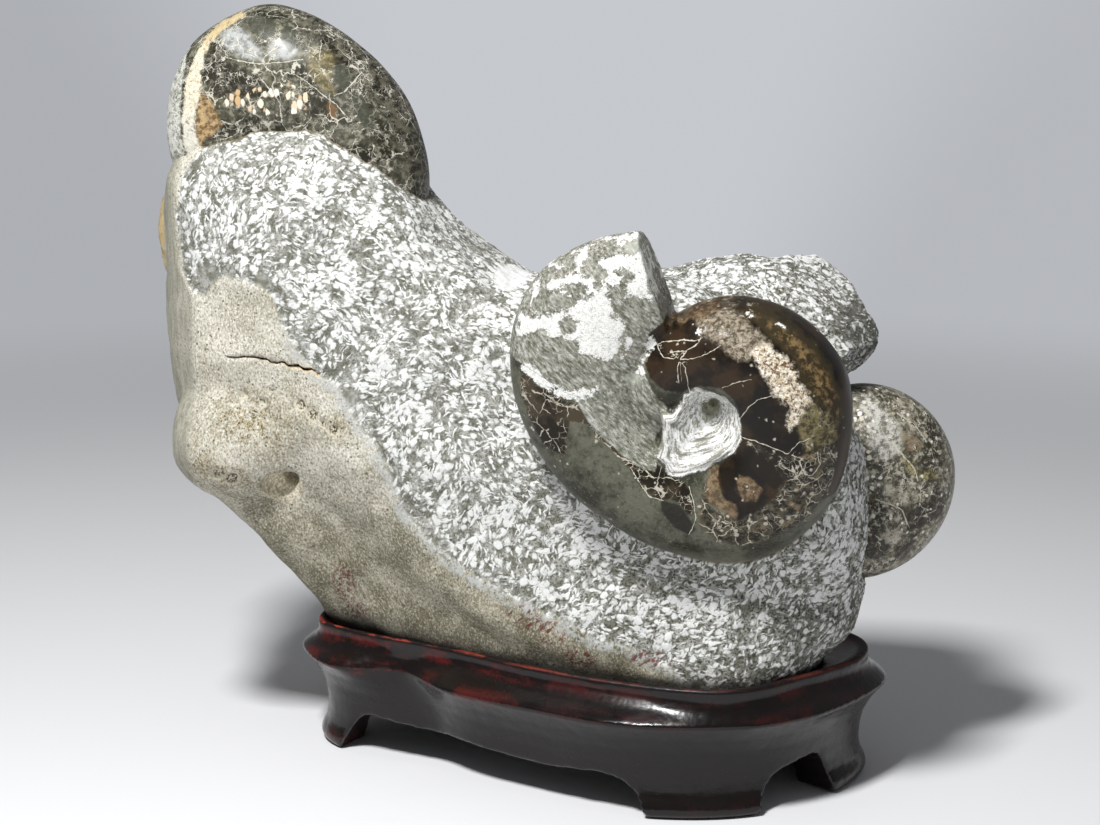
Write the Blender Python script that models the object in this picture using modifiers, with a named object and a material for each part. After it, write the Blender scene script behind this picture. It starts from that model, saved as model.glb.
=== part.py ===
"""Ammonite cluster in a chiselled concretion, resting in a carved wooden stand.

Lengths are written in millimetres and multiplied by MM, so the model is in metres with +Z up.
X runs along the stand's long side, Y runs to its back, and Z = 0 is the ground under the feet.
"""

import math

import bmesh
import bpy
import numpy as np
from mathutils import Matrix, Vector, noise

MM = 0.001

# How the object is placed: the assembly is shifted so its box stands centred over the origin.
SHIFT_X = 6.20
SHIFT_Y = 5.05
ROCK_TURN = math.radians(18.0)        # the chiselled face is turned this far from the stand's front

GAP = 0.32                            # clearance between pieces that touch
RECESS_FLOOR = 44.0                   # height of the recess the stone stands in
ROCK_BASE = RECESS_FLOOR + GAP        # height of the stone's sawn base

# Stand: plan outlines as (x, y) control points, counter-clockwise from the front left corner.
STAND_MIDDLE = (16.0, 5.0)
RIM_OUTLINE = (
    (-83, -39), (-70, -44), (-50, -46), (-28, -46), (-5, -47.5), (20, -50.5), (45, -50.5), (66, -48.5),
    (84, -44.5), (97, -38), (106, -26), (112, -10), (117, 4), (121, 22), (118, 38), (108, 50),
    (90, 56), (60, 57), (25, 58), (-10, 56), (-40, 54), (-65, 54), (-83, 47), (-91, 30),
    (-93, 5), (-91, -20),
)
RIDGE_OUTLINE = (
    (-87, -43), (-76, -51), (-65, -54.5), (-54, -52), (-42, -47), (-32, -48.5), (-14, -57), (5, -59.5),
    (30, -60), (53, -60), (66, -57.8), (78, -53.5), (90, -47), (100, -40), (108, -33), (115, -22),
    (121, -8), (125, 12), (126, 32), (122, 46), (112, 58), (95, 64), (78, 66), (62, 61),
    (35, 65), (-10, 65), (-34, 59), (-58, 62), (-76, 61), (-90, 52), (-98, 35), (-95, 16),
    (-98, -3), (-98, -22), (-94, -35),
)
# Carved side, bottom to top: (height, share of the way from the rim outline to the ridge, outset).
SIDE_PROFILE = (
    (0.0, 1.0, -9.0), (3.8, 1.0, -6.2), (10.0, 1.0, -7.8), (18.0, 1.0, -8.2), (26.0, 1.0, -6.6),
    (32.0, 1.0, -3.2), (36.2, 1.0, 0.0), (38.4, 0.86, -0.8), (41.5, 0.46, -1.6), (45.2, 0.08, -1.0),
    (47.4, 0.0, 0.0), (48.9, 0.0, -0.9), (50.0, 0.0, -5.0), (50.2, 0.0, -16.0),
)
STAND_STEPS = 76
HOLLOW_TOP = 31.0
HOLLOW_INSET = 25.0
# Arches between the feet: outlines of the openings as (along, height).
FRONT_ARCH = (
    (-67, -4), (-66, 2), (-64, 7), (-60, 11.5), (-54, 13.6), (-30, 13.2), (-8, 12.6), (2, 11.6),
    (10, 9.8), (28, 9.2), (42, 10.4), (52, 11.4), (58, 10), (62, 6), (64, 2), (65, -4),
)
BACK_ARCH = ((-66, -4), (-62, 7), (-54, 12.5), (0, 11.5), (62, 12.5), (76, 7), (80, -4))
RIGHT_ARCH = ((-30, -4), (-28, 6), (-22, 12), (-4, 13), (10, 11), (15, 6), (17, -4))
LEFT_ARCH = ((-22, -4), (-19, 6), (-12, 12), (4, 13), (22, 12), (29, 6), (32, -4))

# Stone: cross-sections across its length. Each is (x, then (y, z) for crest, front shoulder,
# front brow, slope under the brow, front foot, back foot, back belly, back shoulder).
ROCK_SECTIONS = (
    (-154, (8, 205), (0, 195), (0, 165), (2, 152), (4, 140), (14, 142), (20, 165), (18, 195)),
    (-150, (8, 226), (-12, 208), (-12, 160), (-8, 138), (-2, 122), (20, 124), (30, 160), (28, 208)),
    (-141, (6, 238), (-26, 224), (-27, 160), (-22, 130), (-14, 108), (28, 110), (44, 160), (38, 220)),
    (-127, (2, 240), (-33, 230), (-39, 168), (-35, 130), (-24, 98), (38, 100), (53, 160), (46, 226)),
    (-111, (0, 242), (-34, 234), (-43, 172), (-36, 122), (-22, 84), (44, 86), (59, 150), (50, 228)),
    (-97, (0, 242), (-36, 234), (-46, 164), (-34, 108), (-12, 64), (50, 64), (63, 140), (50, 226)),
    (-82, (0, 242), (-38, 234), (-47, 148), (-30, 96), (-6, 42), (60, 42), (66, 130), (50, 222)),
    (-57, (0, 227), (-40, 214), (-48, 120), (-34, 80), (-18, 40), (60, 40), (66, 120), (48, 202)),
    (-35, (0, 204), (-42, 188), (-49, 94), (-38, 66), (-27, 40), (50, 40), (62, 115), (46, 184)),
    (-10, (2, 187), (-44, 168), (-51, 74), (-43, 56), (-35, 40), (42, 40), (58, 110), (46, 168)),
    (20, (8, 186), (-42, 165), (-53, 60), (-49, 50), (-45, 40), (32, 40), (52, 110), (44, 166)),
    (55, (12, 191), (-38, 168), (-55, 58), (-53, 49), (-50, 40), (22, 40), (46, 110), (42, 172)),
    (82, (14, 192), (-34, 160), (-56, 62), (-56, 50), (-53, 40), (14, 40), (40, 110), (40, 174)),
    (100, (14, 178), (-26, 145), (-48, 70), (-44, 54), (-38, 42), (8, 42), (32, 105), (34, 160)),
    (110, (10, 152), (-18, 132), (-36, 84), (-31, 68), (-26, 52), (4, 54), (22, 95), (24, 140)),
    (117, (4, 130), (-6, 122), (-14, 95), (-10, 84), (-6, 74), (2, 76), (8, 98), (10, 120)),
)
# Lumps that grow out of the stone: (name, centre, half sizes, turn about Z in degrees).
ROCK_LUMPS = (
    ("porous boss", (-112, -20, 124), (33, 27, 27), 10),
    ("crust on the left end", (-151, 10, 199), (9, 11, 23), 0),
    ("pedestal of the front shell", (58, -40, 118), (62, 17, 66), 0),
    ("backing of the front shell", (40, -24, 162), (42, 28, 30), 0),
    ("saddle to the right shell", (105, -22, 106), (21, 24, 44), 0),
    ("rear lump", (99, 6, 181), (19, 25, 18), 15),
    ("rear lump corner", (106, 2, 166), (19, 24, 15), 0),
    ("rear lump shoulder", (70, 8, 178), (34, 22, 18), 0),
    ("lower right knob", (106, -14, 70), (16, 30, 20), -10),
)
CAVITY = ((-96, -47, 111), (8.5, 11, 6.0))
ROCK_VOXEL = 2.6
ROCK_KEEP = 0.0295                     # share of faces left in the faceted stone
SHELL_VOXEL = 1.5

# Shells: (centre in the stone's frame, azimuth and elevation of the axis, direction of the mouth in
# degrees as seen along the axis, share of faces left, then stations (turn back from the mouth,
# outer radius, inner radius, half width)). An inner radius below zero closes the umbilicus.
FRONT_SHELL = (
    (69.7, -58.0, 148.5), 21.0, -10.0, 109.0, 0.036,
    ((0, 69, 27, 13), (12, 73, 26, 13.5), (30, 77, 24, 14.5), (45, 75, 22, 16), (60, 70.5, 20, 17),
     (90, 60.5, 16, 18.5), (120, 54, 11, 20), (150, 53.5, 8, 21.5), (180, 57, 7, 22.5),
     (210, 55, 7, 23.5), (240, 51.5, 7, 24), (270, 51.5, 7, 24), (300, 47.5, 7, 23),
     (330, 42.5, 6.5, 21), (360, 36, 6, 18.5), (400, 30.5, 5, 15), (450, 23, 4, 10.5),
     (510, 16, 3, 7.5), (600, 9, 1.5, 4.5)),
)
TOP_SHELL = (
    (-101.1, -6.0, 233.1), 22.0, 4.0, -100.0, 0.028,
    ((0, 62, 2, 25), (80, 57.5, -2, 24.5), (106, 51.5, -4, 24), (137, 48, -4, 23), (155, 47.6, -4, 23),
     (170, 49.2, -4, 23), (186, 52.4, -4, 23), (197, 55, -4, 22.5), (212, 54.2, -4, 22),
     (234, 53.6, -4, 21), (260, 49, -4, 20), (310, 42, -4, 18), (360, 35, -3, 16), (450, 24, -2, 12)),
)
RIGHT_SHELL = (
    (117.2, 4.0, 112.6), 44.0, -4.0, 172.0, 0.040,
    ((0, 38, -8, 19), (60, 38.5, -10, 19.5), (110, 38, -10, 19.5), (200, 37.5, -10, 19.5),
     (280, 36.5, -10, 18.5), (330, 34, -8, 18), (360, 31, -8, 16), (450, 22, -4, 12)),
)


def smooth_loop(points, count):
    """Return a closed Catmull-Rom curve through the points, as count samples by arc length."""
    pts = np.array(points, float)
    n = len(pts)
    dense = []
    for i in range(n):
        a, b, c, d = pts[i - 1], pts[i], pts[(i + 1) % n], pts[(i + 2) % n]
        for t in np.linspace(0.0, 1.0, 16, endpoint=False):
            dense.append(0.5 * (2 * b + (c - a) * t + (2 * a - 5 * b + 4 * c - d) * t**2
                                + (3 * b - a - 3 * c + d) * t**3))
    dense = np.array(dense + dense[:1])
    length = np.concatenate([[0.0], np.cumsum(np.linalg.norm(np.diff(dense, axis=0), axis=1))])
    at = np.linspace(0.0, length[-1], count, endpoint=False)
    return np.stack([np.interp(at, length, dense[:, k]) for k in range(dense.shape[1])], axis=1)


def ring_angles(outline, count):
    """Return the directions, seen from the stand's middle, of evenly spaced points of an outline."""
    pts = smooth_loop(outline, count) - np.array(STAND_MIDDLE)
    return np.unwrap(np.arctan2(pts[:, 1], pts[:, 0]))


def reach(outline, angles):
    """Return how far an outline lies from the stand's middle in each direction."""
    pts = smooth_loop(outline, 720) - np.array(STAND_MIDDLE)
    angle = np.arctan2(pts[:, 1], pts[:, 0])
    order = np.argsort(angle)
    return np.interp(angles, angle[order], np.linalg.norm(pts[order], axis=1), period=2 * math.pi)


def collection(name, parent=None):
    """Make a collection and link it under the scene or another collection."""
    new = bpy.data.collections.new(name)
    (parent or bpy.context.scene.collection).children.link(new)
    return new


def add_object(name, bm, home, smooth=True):
    """Turn a bmesh in millimetres into a named object in metres, placed over the shared origin."""
    bm.transform(Matrix.Scale(MM, 4))
    bmesh.ops.recalc_face_normals(bm, faces=bm.faces)
    for face in bm.faces:
        face.smooth = smooth
    mesh = bpy.data.meshes.new(name)
    bm.to_mesh(mesh)
    bm.free()
    obj = bpy.data.objects.new(name, mesh)
    obj.location = (SHIFT_X * MM, SHIFT_Y * MM, 0.0)
    home.objects.link(obj)
    return obj


def add_cutter(name, bm):
    """Make an object that only shapes others."""
    obj = add_object(name, bm, cutters, smooth=False)
    return hide_cutter(obj)


def hide_cutter(obj):
    """Show a shaping object as wires and keep it out of renders."""
    obj.hide_render = True
    obj.display_type = "WIRE"
    return obj


def skin(bm, rings, cap=True):
    """Join closed rings of equal length with faces, and close both ends."""
    rows = [[bm.verts.new(Vector(p)) for p in ring] for ring in rings]
    count = len(rows[0])
    for low, high in zip(rows, rows[1:]):
        for i in range(count):
            j = (i + 1) % count
            bm.faces.new((low[i], low[j], high[j], high[i]))
    if cap:
        bm.faces.new(list(reversed(rows[0])))
        bm.faces.new(rows[-1])


def add_ellipsoid(bm, centre, half, turn=0.0, detail=4):
    """Add a closed ellipsoid lump."""
    place = (Matrix.Translation(centre) @ Matrix.Rotation(math.radians(turn), 4, "Z")
             @ Matrix.Diagonal((*half, 1.0)))
    bmesh.ops.create_icosphere(bm, subdivisions=detail, radius=1.0, matrix=place)


def boolean(obj, other, operation="DIFFERENCE"):
    """Add an exact Boolean modifier."""
    mod = obj.modifiers.new(f"{operation.lower()} {other.name}", "BOOLEAN")
    mod.operation = operation
    mod.solver = "EXACT"
    mod.object = other
    return mod


def box(bm, low, high):
    """Add a box between two corners."""
    size = Vector(high) - Vector(low)
    centre = (Vector(high) + Vector(low)) / 2
    bmesh.ops.create_cube(bm, size=1.0, matrix=Matrix.Translation(centre) @ Matrix.Diagonal((*size, 1.0)))


def arch_cutter(name, outline, along, start, stop):
    """Make a prism with an arch's outline, running through one side wall of the stand."""
    bm = bmesh.new()
    rings = []
    for depth in (start, stop):
        if along == "X":
            rings.append([(u, depth, z) for u, z in outline])
        else:
            rings.append([(depth, u, z) for u, z in outline])
    skin(bm, rings)
    return add_cutter(name, bm)


def make_stand():
    """Loft the carved side, then hollow the underside and open the arches between the feet."""
    angles = ring_angles(RIDGE_OUTLINE, STAND_STEPS)
    rim = reach(RIM_OUTLINE, angles)
    ridge = reach(RIDGE_OUTLINE, angles)
    rays = np.stack([np.cos(angles), np.sin(angles)], axis=1)
    middle = np.array(STAND_MIDDLE)

    def ring(height, share, outset):
        radius = rim + share * (ridge - rim) + outset
        plan = middle + rays * radius[:, None]
        return [(x, y, height) for x, y in plan]

    bm = bmesh.new()
    skin(bm, [ring(*level) for level in SIDE_PROFILE])
    stand = add_object("stand", bm, home, smooth=False)

    bm = bmesh.new()
    skin(bm, [ring(-5.0, 1.0, -HOLLOW_INSET), ring(HOLLOW_TOP - 6, 1.0, -HOLLOW_INSET - 1),
              ring(HOLLOW_TOP, 1.0, -HOLLOW_INSET - 7)])
    boolean(stand, add_cutter("hollow", bm))
    boolean(stand, arch_cutter("front arch", FRONT_ARCH, "X", -95.0, 5.0))
    boolean(stand, arch_cutter("back arch", BACK_ARCH, "X", 5.0, 95.0))
    boolean(stand, arch_cutter("right arch", RIGHT_ARCH, "Y", 20.0, 150.0))
    boolean(stand, arch_cutter("left arch", LEFT_ARCH, "Y", -130.0, 10.0))
    return stand


def shell_frame(shell):
    """Return the matrix that carries a shell from its own axes to the stand's frame."""
    centre, azimuth, elevation = shell[:3]
    azimuth, elevation = math.radians(azimuth), math.radians(elevation)
    axis = Vector((math.sin(azimuth) * math.cos(elevation), -math.cos(azimuth) * math.cos(elevation),
                   math.sin(elevation)))
    right = Vector((math.cos(azimuth), math.sin(azimuth), 0.0))
    up = axis.cross(right)
    place = Matrix((right, up, axis)).transposed().to_4x4()
    place.translation = Matrix.Rotation(ROCK_TURN, 3, "Z") @ Vector(centre)
    return place


def coil(shell, per_turn=40, around=18):
    """Make the coiled tube of a shell as a bmesh, from its mouth in to its first chamber."""
    mouth, stations = math.radians(shell[3]), np.array(shell[5], float)
    turns = np.arange(0.0, stations[-1, 0] + 1, 360.0 / per_turn)
    outer, inner, half = (np.interp(turns, stations[:, 0], stations[:, k]) for k in (1, 2, 3))
    rings = []
    for turn, r_out, r_in, wide in zip(np.radians(turns), outer, inner, half):
        spin = mouth + turn
        ring = []
        for side in np.linspace(0.0, 2 * math.pi, around, endpoint=False):
            c, s = math.cos(side), math.sin(side)
            rho = (r_out + r_in) / 2 + (r_out - r_in) / 2 * math.copysign(abs(c) ** 0.88, c)
            ring.append((rho * math.cos(spin), rho * math.sin(spin),
                         wide * math.copysign(abs(s) ** 0.88, s)))
        rings.append(ring)
    bm = bmesh.new()
    skin(bm, rings)
    add_ellipsoid(bm, (0, 0, 0), (10, 10, 5.5), detail=2)
    bm.transform(shell_frame(shell))
    return bm


def make_shell(name, shell, grow=0.0):
    """Build a shell; with grow, build the cutter for its pocket in the stone."""
    bm = coil(shell)
    bmesh.ops.recalc_face_normals(bm, faces=bm.faces)
    obj = add_cutter(name, bm) if grow else add_object(name, bm, home)
    remesh = obj.modifiers.new("one skin", "REMESH")
    remesh.mode = "VOXEL"
    remesh.voxel_size = SHELL_VOXEL * MM
    remesh.use_smooth_shade = True
    facet = obj.modifiers.new("facets", "DECIMATE")
    facet.ratio = shell[4]
    if grow:
        swell = obj.modifiers.new("clearance", "DISPLACE")
        swell.strength = grow * MM
        swell.mid_level = 0.0
    return obj


def rock_mass(name, grow=0.0):
    """Build the stone's rough mass; with grow, build it larger all round as a cutter."""
    bm = bmesh.new()
    rings = []
    for section in ROCK_SECTIONS:
        loop = smooth_loop(section[1:], 40)
        rings.append([(section[0], y, z) for y, z in loop])
    skin(bm, rings)
    for _, centre, half, turn in ROCK_LUMPS:
        add_ellipsoid(bm, centre, half, turn)
    bm.transform(Matrix.Rotation(ROCK_TURN, 4, "Z"))
    obj = add_cutter(name, bm) if grow else add_object(name, bm, home, smooth=False)
    remesh = obj.modifiers.new("one skin", "REMESH")
    remesh.mode = "VOXEL"
    remesh.voxel_size = ROCK_VOXEL * MM
    soften = obj.modifiers.new("soften", "SMOOTH")
    soften.iterations = 6
    soften.factor = 0.6
    rough = obj.modifiers.new("natural surface", "DISPLACE")
    rough.texture = rough_texture
    rough.texture_coords = "LOCAL"
    rough.strength = 5.0 * MM
    facet = obj.modifiers.new("facets", "DECIMATE")
    facet.ratio = ROCK_KEEP
    if grow:
        swell = obj.modifiers.new("clearance", "DISPLACE")
        swell.strength = grow * MM
        swell.mid_level = 0.0
    return obj


def slab_below(name, height):
    """Make a cutter that takes away everything below a height."""
    bm = bmesh.new()
    box(bm, (-260, -200, height - 90), (260, 200, height))
    return add_cutter(name, bm)


def material(name, colour, roughness, coat=0.0):
    """Make a plain Principled material."""
    mat = bpy.data.materials.new(name)
    mat.use_nodes = True
    shader = mat.node_tree.nodes["Principled BSDF"]
    shader.inputs["Base Color"].default_value = (*colour, 1.0)
    shader.inputs["Roughness"].default_value = roughness
    shader.inputs["Coat Weight"].default_value = coat
    mat.diffuse_color = (*colour, 1.0)
    return mat


for old in list(bpy.data.objects):
    bpy.data.objects.remove(old)

home = collection("ammonite_on_stand")
cutters = collection("cutters", home)
rough_texture = bpy.data.textures.new("rough stone", "CLOUDS")
rough_texture.noise_scale = 30 * MM
rough_texture.noise_depth = 2

stand = make_stand()
rock = rock_mass("rock")
shells = {
    "front_ammonite": FRONT_SHELL,
    "top_ammonite": TOP_SHELL,
    "right_ammonite": RIGHT_SHELL,
}
for shell_name, shell in shells.items():
    make_shell(shell_name, shell)

# The stand's recess follows the stone's foot, a clearance larger all round.
foot = rock_mass("foot of the stone", grow=GAP)
boolean(foot, slab_below("below the recess", RECESS_FLOOR))
boolean(stand, foot)

boolean(rock, slab_below("below the stone", ROCK_BASE))
for shell_name, shell in shells.items():
    boolean(rock, make_shell(f"pocket for {shell_name}", shell, grow=GAP))
bm = bmesh.new()
add_ellipsoid(bm, *CAVITY, detail=2)
bm.transform(Matrix.Rotation(ROCK_TURN, 4, "Z"))
boolean(rock, add_cutter("cavity", bm))

looks = {
    "stand": material("red lacquered wood", (0.045, 0.010, 0.008), 0.25, 0.6),
    "rock": material("chiselled stone", (0.36, 0.36, 0.33), 0.9),
    "front_ammonite": material("brown fossil shell", (0.085, 0.06, 0.04), 0.25, 0.5),
    "top_ammonite": material("grey fossil shell", (0.10, 0.09, 0.075), 0.25, 0.5),
    "right_ammonite": material("olive fossil shell", (0.13, 0.12, 0.095), 0.35, 0.4),
}
for obj_name, look in looks.items():
    bpy.data.objects[obj_name].data.materials.append(look)
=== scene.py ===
"""Ammonite fossils in a chiselled stone on a carved, lacquered stand."""
import math
from contextlib import contextmanager

import bmesh
import bpy
import numpy as np
from mathutils import Matrix, Vector
from mathutils.bvhtree import BVHTree


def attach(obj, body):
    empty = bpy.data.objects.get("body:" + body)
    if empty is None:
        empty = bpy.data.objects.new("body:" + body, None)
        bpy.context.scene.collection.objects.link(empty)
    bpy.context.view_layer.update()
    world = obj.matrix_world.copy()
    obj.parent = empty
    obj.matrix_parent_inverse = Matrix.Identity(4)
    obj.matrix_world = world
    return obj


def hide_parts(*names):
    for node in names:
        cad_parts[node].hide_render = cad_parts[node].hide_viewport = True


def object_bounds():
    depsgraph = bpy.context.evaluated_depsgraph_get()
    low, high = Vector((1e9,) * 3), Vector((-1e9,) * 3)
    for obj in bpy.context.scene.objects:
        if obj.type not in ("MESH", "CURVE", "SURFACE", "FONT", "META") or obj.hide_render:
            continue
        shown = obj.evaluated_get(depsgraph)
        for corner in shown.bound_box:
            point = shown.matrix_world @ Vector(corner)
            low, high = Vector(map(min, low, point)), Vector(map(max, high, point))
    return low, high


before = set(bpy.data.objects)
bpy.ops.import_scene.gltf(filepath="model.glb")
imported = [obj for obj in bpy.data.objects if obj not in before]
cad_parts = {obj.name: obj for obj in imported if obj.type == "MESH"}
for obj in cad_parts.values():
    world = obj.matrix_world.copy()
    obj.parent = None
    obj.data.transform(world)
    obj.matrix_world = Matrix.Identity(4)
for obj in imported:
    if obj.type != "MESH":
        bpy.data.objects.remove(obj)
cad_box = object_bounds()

MM = 0.001
SHIFT = Vector((6.20, 5.05, 0.0))              # from the measuring frame to the part's origin
INSET = 0.02                                   # how far inside the solids' box the meshes stay
ROCK_TURN = math.radians(18.0)
GAP = 0.32
RECESS_FLOOR = 44.0
ROCK_BASE = RECESS_FLOOR + GAP
DEPTH_AXIS = (0.0, 1.0, 0.0)                   # from the stone's front to its back
BLACK = (0.0, 0.0, 0.0)

# ---- Camera, floor and light ----
VIEW_AZIMUTH, VIEW_PITCH = math.radians(31.0), math.radians(11.5)
VIEW_RIGHT = Vector((math.cos(VIEW_AZIMUTH), math.sin(VIEW_AZIMUTH), 0.0))
VIEW_BACK = Vector((math.sin(VIEW_AZIMUTH), -math.cos(VIEW_AZIMUTH), 0.0))
SENSOR, LENS = 36.0, 78.545
CAMERA_AWAY, CAMERA_HEIGHT = 900.0, 316.7      # in millimetres
BACKDROP = (0.578, 0.597, 0.631)
SURROUNDINGS = (0.175, 0.178, 0.183)           # what lights the object from all sides
NEAR_FLOOR, FAR_FLOOR = (0.80, 0.805, 0.82), (0.05, 0.05, 0.05)
FLOOR_FADE = (0.5, 1.15)                       # where the floor turns into the backdrop, in metres
# Painted falloff of the backdrop's glow, to the left and to the right.
LEFT_PAINTED_FALLOFF = (-0.06, -0.24, 0.0, 0.27)       # from where, to where, from and to how much darker
RIGHT_PAINTED_FALLOFF = (0.10, 0.26, 0.0, 0.18)
FLOOR_RADIUS, FLOOR_DROP = 14.0, 0.0004        # in metres
KEY_PLACE = (-0.24, 0.56, 0.95)                # metres to the right, towards the camera and up
KEY_SIZE, KEY_POWER, KEY_AIM = 0.16, 14.2, 0.12


def link(obj):
    """Put an object into the scene."""
    bpy.context.scene.collection.objects.link(obj)
    return obj


def look_along(obj, back):
    """Turn a camera or a lamp so that its back points the given way."""
    obj.rotation_mode = "QUATERNION"
    obj.rotation_quaternion = back.to_track_quat("Z", "Y")


def make_camera():
    """Stand the camera in front and a little above, with a long lens."""
    cam = link(bpy.data.objects.new("camera", bpy.data.cameras.new("camera")))
    cam.data.sensor_width, cam.data.lens = SENSOR, LENS
    cam.location = (VIEW_BACK * CAMERA_AWAY + Vector((0, 0, CAMERA_HEIGHT)) + SHIFT) * MM
    look_along(cam, VIEW_BACK * math.cos(VIEW_PITCH) + Vector((0, 0, math.sin(VIEW_PITCH))))
    cam.data.clip_start, cam.data.clip_end = 0.05, 60.0
    bpy.context.scene.camera = cam


def make_key_light():
    """Hang one square soft light over the front left of the object."""
    lamp = bpy.data.lights.new("key light", "AREA")
    lamp.shape, lamp.size, lamp.energy = "SQUARE", KEY_SIZE, KEY_POWER
    obj = link(bpy.data.objects.new("key light", lamp))
    across, towards, up = KEY_PLACE
    obj.location = place = VIEW_RIGHT * across + VIEW_BACK * towards + Vector((0, 0, up))
    look_along(obj, place - Vector((0, 0, KEY_AIM)))
    obj.visible_camera = False


class Wire:
    """A value that comes out of a node. Sums, differences and products of it become Math nodes."""

    def __init__(self, board, socket):
        self.board, self.socket = board, socket

    def __add__(self, other):
        return self.board.math("ADD", self, other)

    def __sub__(self, other):
        return self.board.math("SUBTRACT", self, other)

    def __rsub__(self, other):
        return self.board.math("SUBTRACT", other, self)

    def __mul__(self, other):
        return self.board.math("MULTIPLY", self, other)


class Outputs:
    """What comes out of a node, by name or number."""

    def __init__(self, board, node):
        self.board, self.node = board, node

    def __getitem__(self, key):
        return Wire(self.board, self.node.outputs[key])


class Board:
    """A node tree being wired. Values may be numbers or wires."""

    def __init__(self, tree):
        self.tree = tree

    def fill(self, socket, value):
        """Link a wire to a socket, or set the socket's own value."""
        if isinstance(value, Wire):
            self.tree.links.new(value.socket, socket)
        elif socket.type == "RGBA" and len(value) == 3:
            socket.default_value = (*value, 1.0)
        else:
            socket.default_value = value

    def node(self, kind, values=(), **settings):
        """Add a node, set its options, then fill its sockets by name or number."""
        made = self.tree.nodes.new(kind)
        for name, value in settings.items():
            setattr(made, name, value)
        for key, value in dict(values).items():
            self.fill(made.inputs[key], value)
        return Outputs(self, made)

    def math(self, operation, a, b=0.0, clamp=False):
        return self.node("ShaderNodeMath", {0: a, 1: b}, operation=operation, use_clamp=clamp)[0]

    def most(self, a, b):
        return self.math("MAXIMUM", a, b)

    def vector(self, operation, a, b, gives=0):
        return self.node("ShaderNodeVectorMath", {0: a, 1: b}, operation=operation)[gives]

    def stretched(self, at, factors):
        return self.vector("MULTIPLY", at, factors)

    def scaled(self, a, factor):
        return self.node("ShaderNodeVectorMath", {0: a, "Scale": factor}, operation="SCALE")[0]

    def turned(self, at, axis, angle, centre=BLACK):
        """Turn the coordinates about an axis through a centre."""
        values = {"Vector": at, "Center": centre, "Axis": axis, "Angle": angle}
        return self.node("ShaderNodeVectorRotate", values, rotation_type="AXIS_ANGLE")[0]

    def blend(self, share, a, b):
        """Mix two colours."""
        return self.node("ShaderNodeMix", {0: share, 6: a, 7: b}, data_type="RGBA")[2]

    def between(self, share, a, b):
        """Mix two numbers."""
        return self.node("ShaderNodeMix", {0: share, 2: a, 3: b}, data_type="FLOAT")[0]

    def step(self, value, low, high, start=0.0, end=1.0):
        """Go smoothly from start to end while the value goes from low to high."""
        return self.node("ShaderNodeMapRange", {"Value": value, "From Min": low, "From Max": high,
                                                "To Min": start, "To Max": end},
                         interpolation_type="SMOOTHSTEP")[0]

    def noise(self, at, size, detail=2.0, rough=0.5, gives=0):
        """Noise whose coarsest lumps are about the given size, in millimetres."""
        return self.node("ShaderNodeTexNoise", {"Vector": at, "Scale": 1.0 / (size * MM), "Detail": detail,
                                                "Roughness": rough})[gives]

    def swing(self, at, size, detail, rough, reach):
        """Noise that goes to both sides of zero."""
        return (self.noise(at, size, detail, rough) - 0.5) * reach

    def cells(self, at, size):
        """Random cells of the given size in millimetres."""
        return self.node("ShaderNodeTexVoronoi", {"Vector": at, "Scale": 1.0 / (size * MM)})

    def pushed(self, at, size, detail, rough, reach):
        """Push the coordinates about by noise."""
        push = self.vector("SUBTRACT", self.noise(at, size, detail, rough, "Color"), (0.5, 0.5, 0.5))
        return self.vector("ADD", at, self.scaled(push, reach))

    def warped(self, at, size, reach, detail=1.0):
        """Push the coordinates about by noise, up to a reach in millimetres."""
        return self.pushed(at, size, detail, 0.5, 2.0 * reach * MM)

    def part_of(self, value, index):
        return self.node("ShaderNodeSeparateXYZ", {0: value})[index]

    def zone(self, name):
        """Read one of the piece's own painted zones."""
        if self.tree.type == "GEOMETRY":
            return self.node("GeometryNodeInputNamedAttribute", {"Name": name}, data_type="FLOAT")[0]
        return self.node("ShaderNodeAttribute", attribute_name=name)["Fac"]

    def place(self, name="rest"):
        """Read the piece's own coordinates, kept from before its surface was worked."""
        if self.tree.type == "GEOMETRY":
            return self.node("GeometryNodeInputNamedAttribute", {"Name": name},
                             data_type="FLOAT_VECTOR")[0]
        return self.node("ShaderNodeAttribute", attribute_name=name)["Vector"]


def new_material(name):
    """Start a material; gives it, its board and its Principled shader."""
    mat = bpy.data.materials.new(name)
    mat.use_nodes = True
    return mat, Board(mat.node_tree), mat.node_tree.nodes["Principled BSDF"]


def fill_shader(b, shader, **values):
    """Fill the shader's sockets, named in small letters with underscores."""
    names = {socket.name.lower().replace(" ", "_"): socket for socket in shader.inputs}
    for name, value in values.items():
        b.fill(names[name], value)


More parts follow.
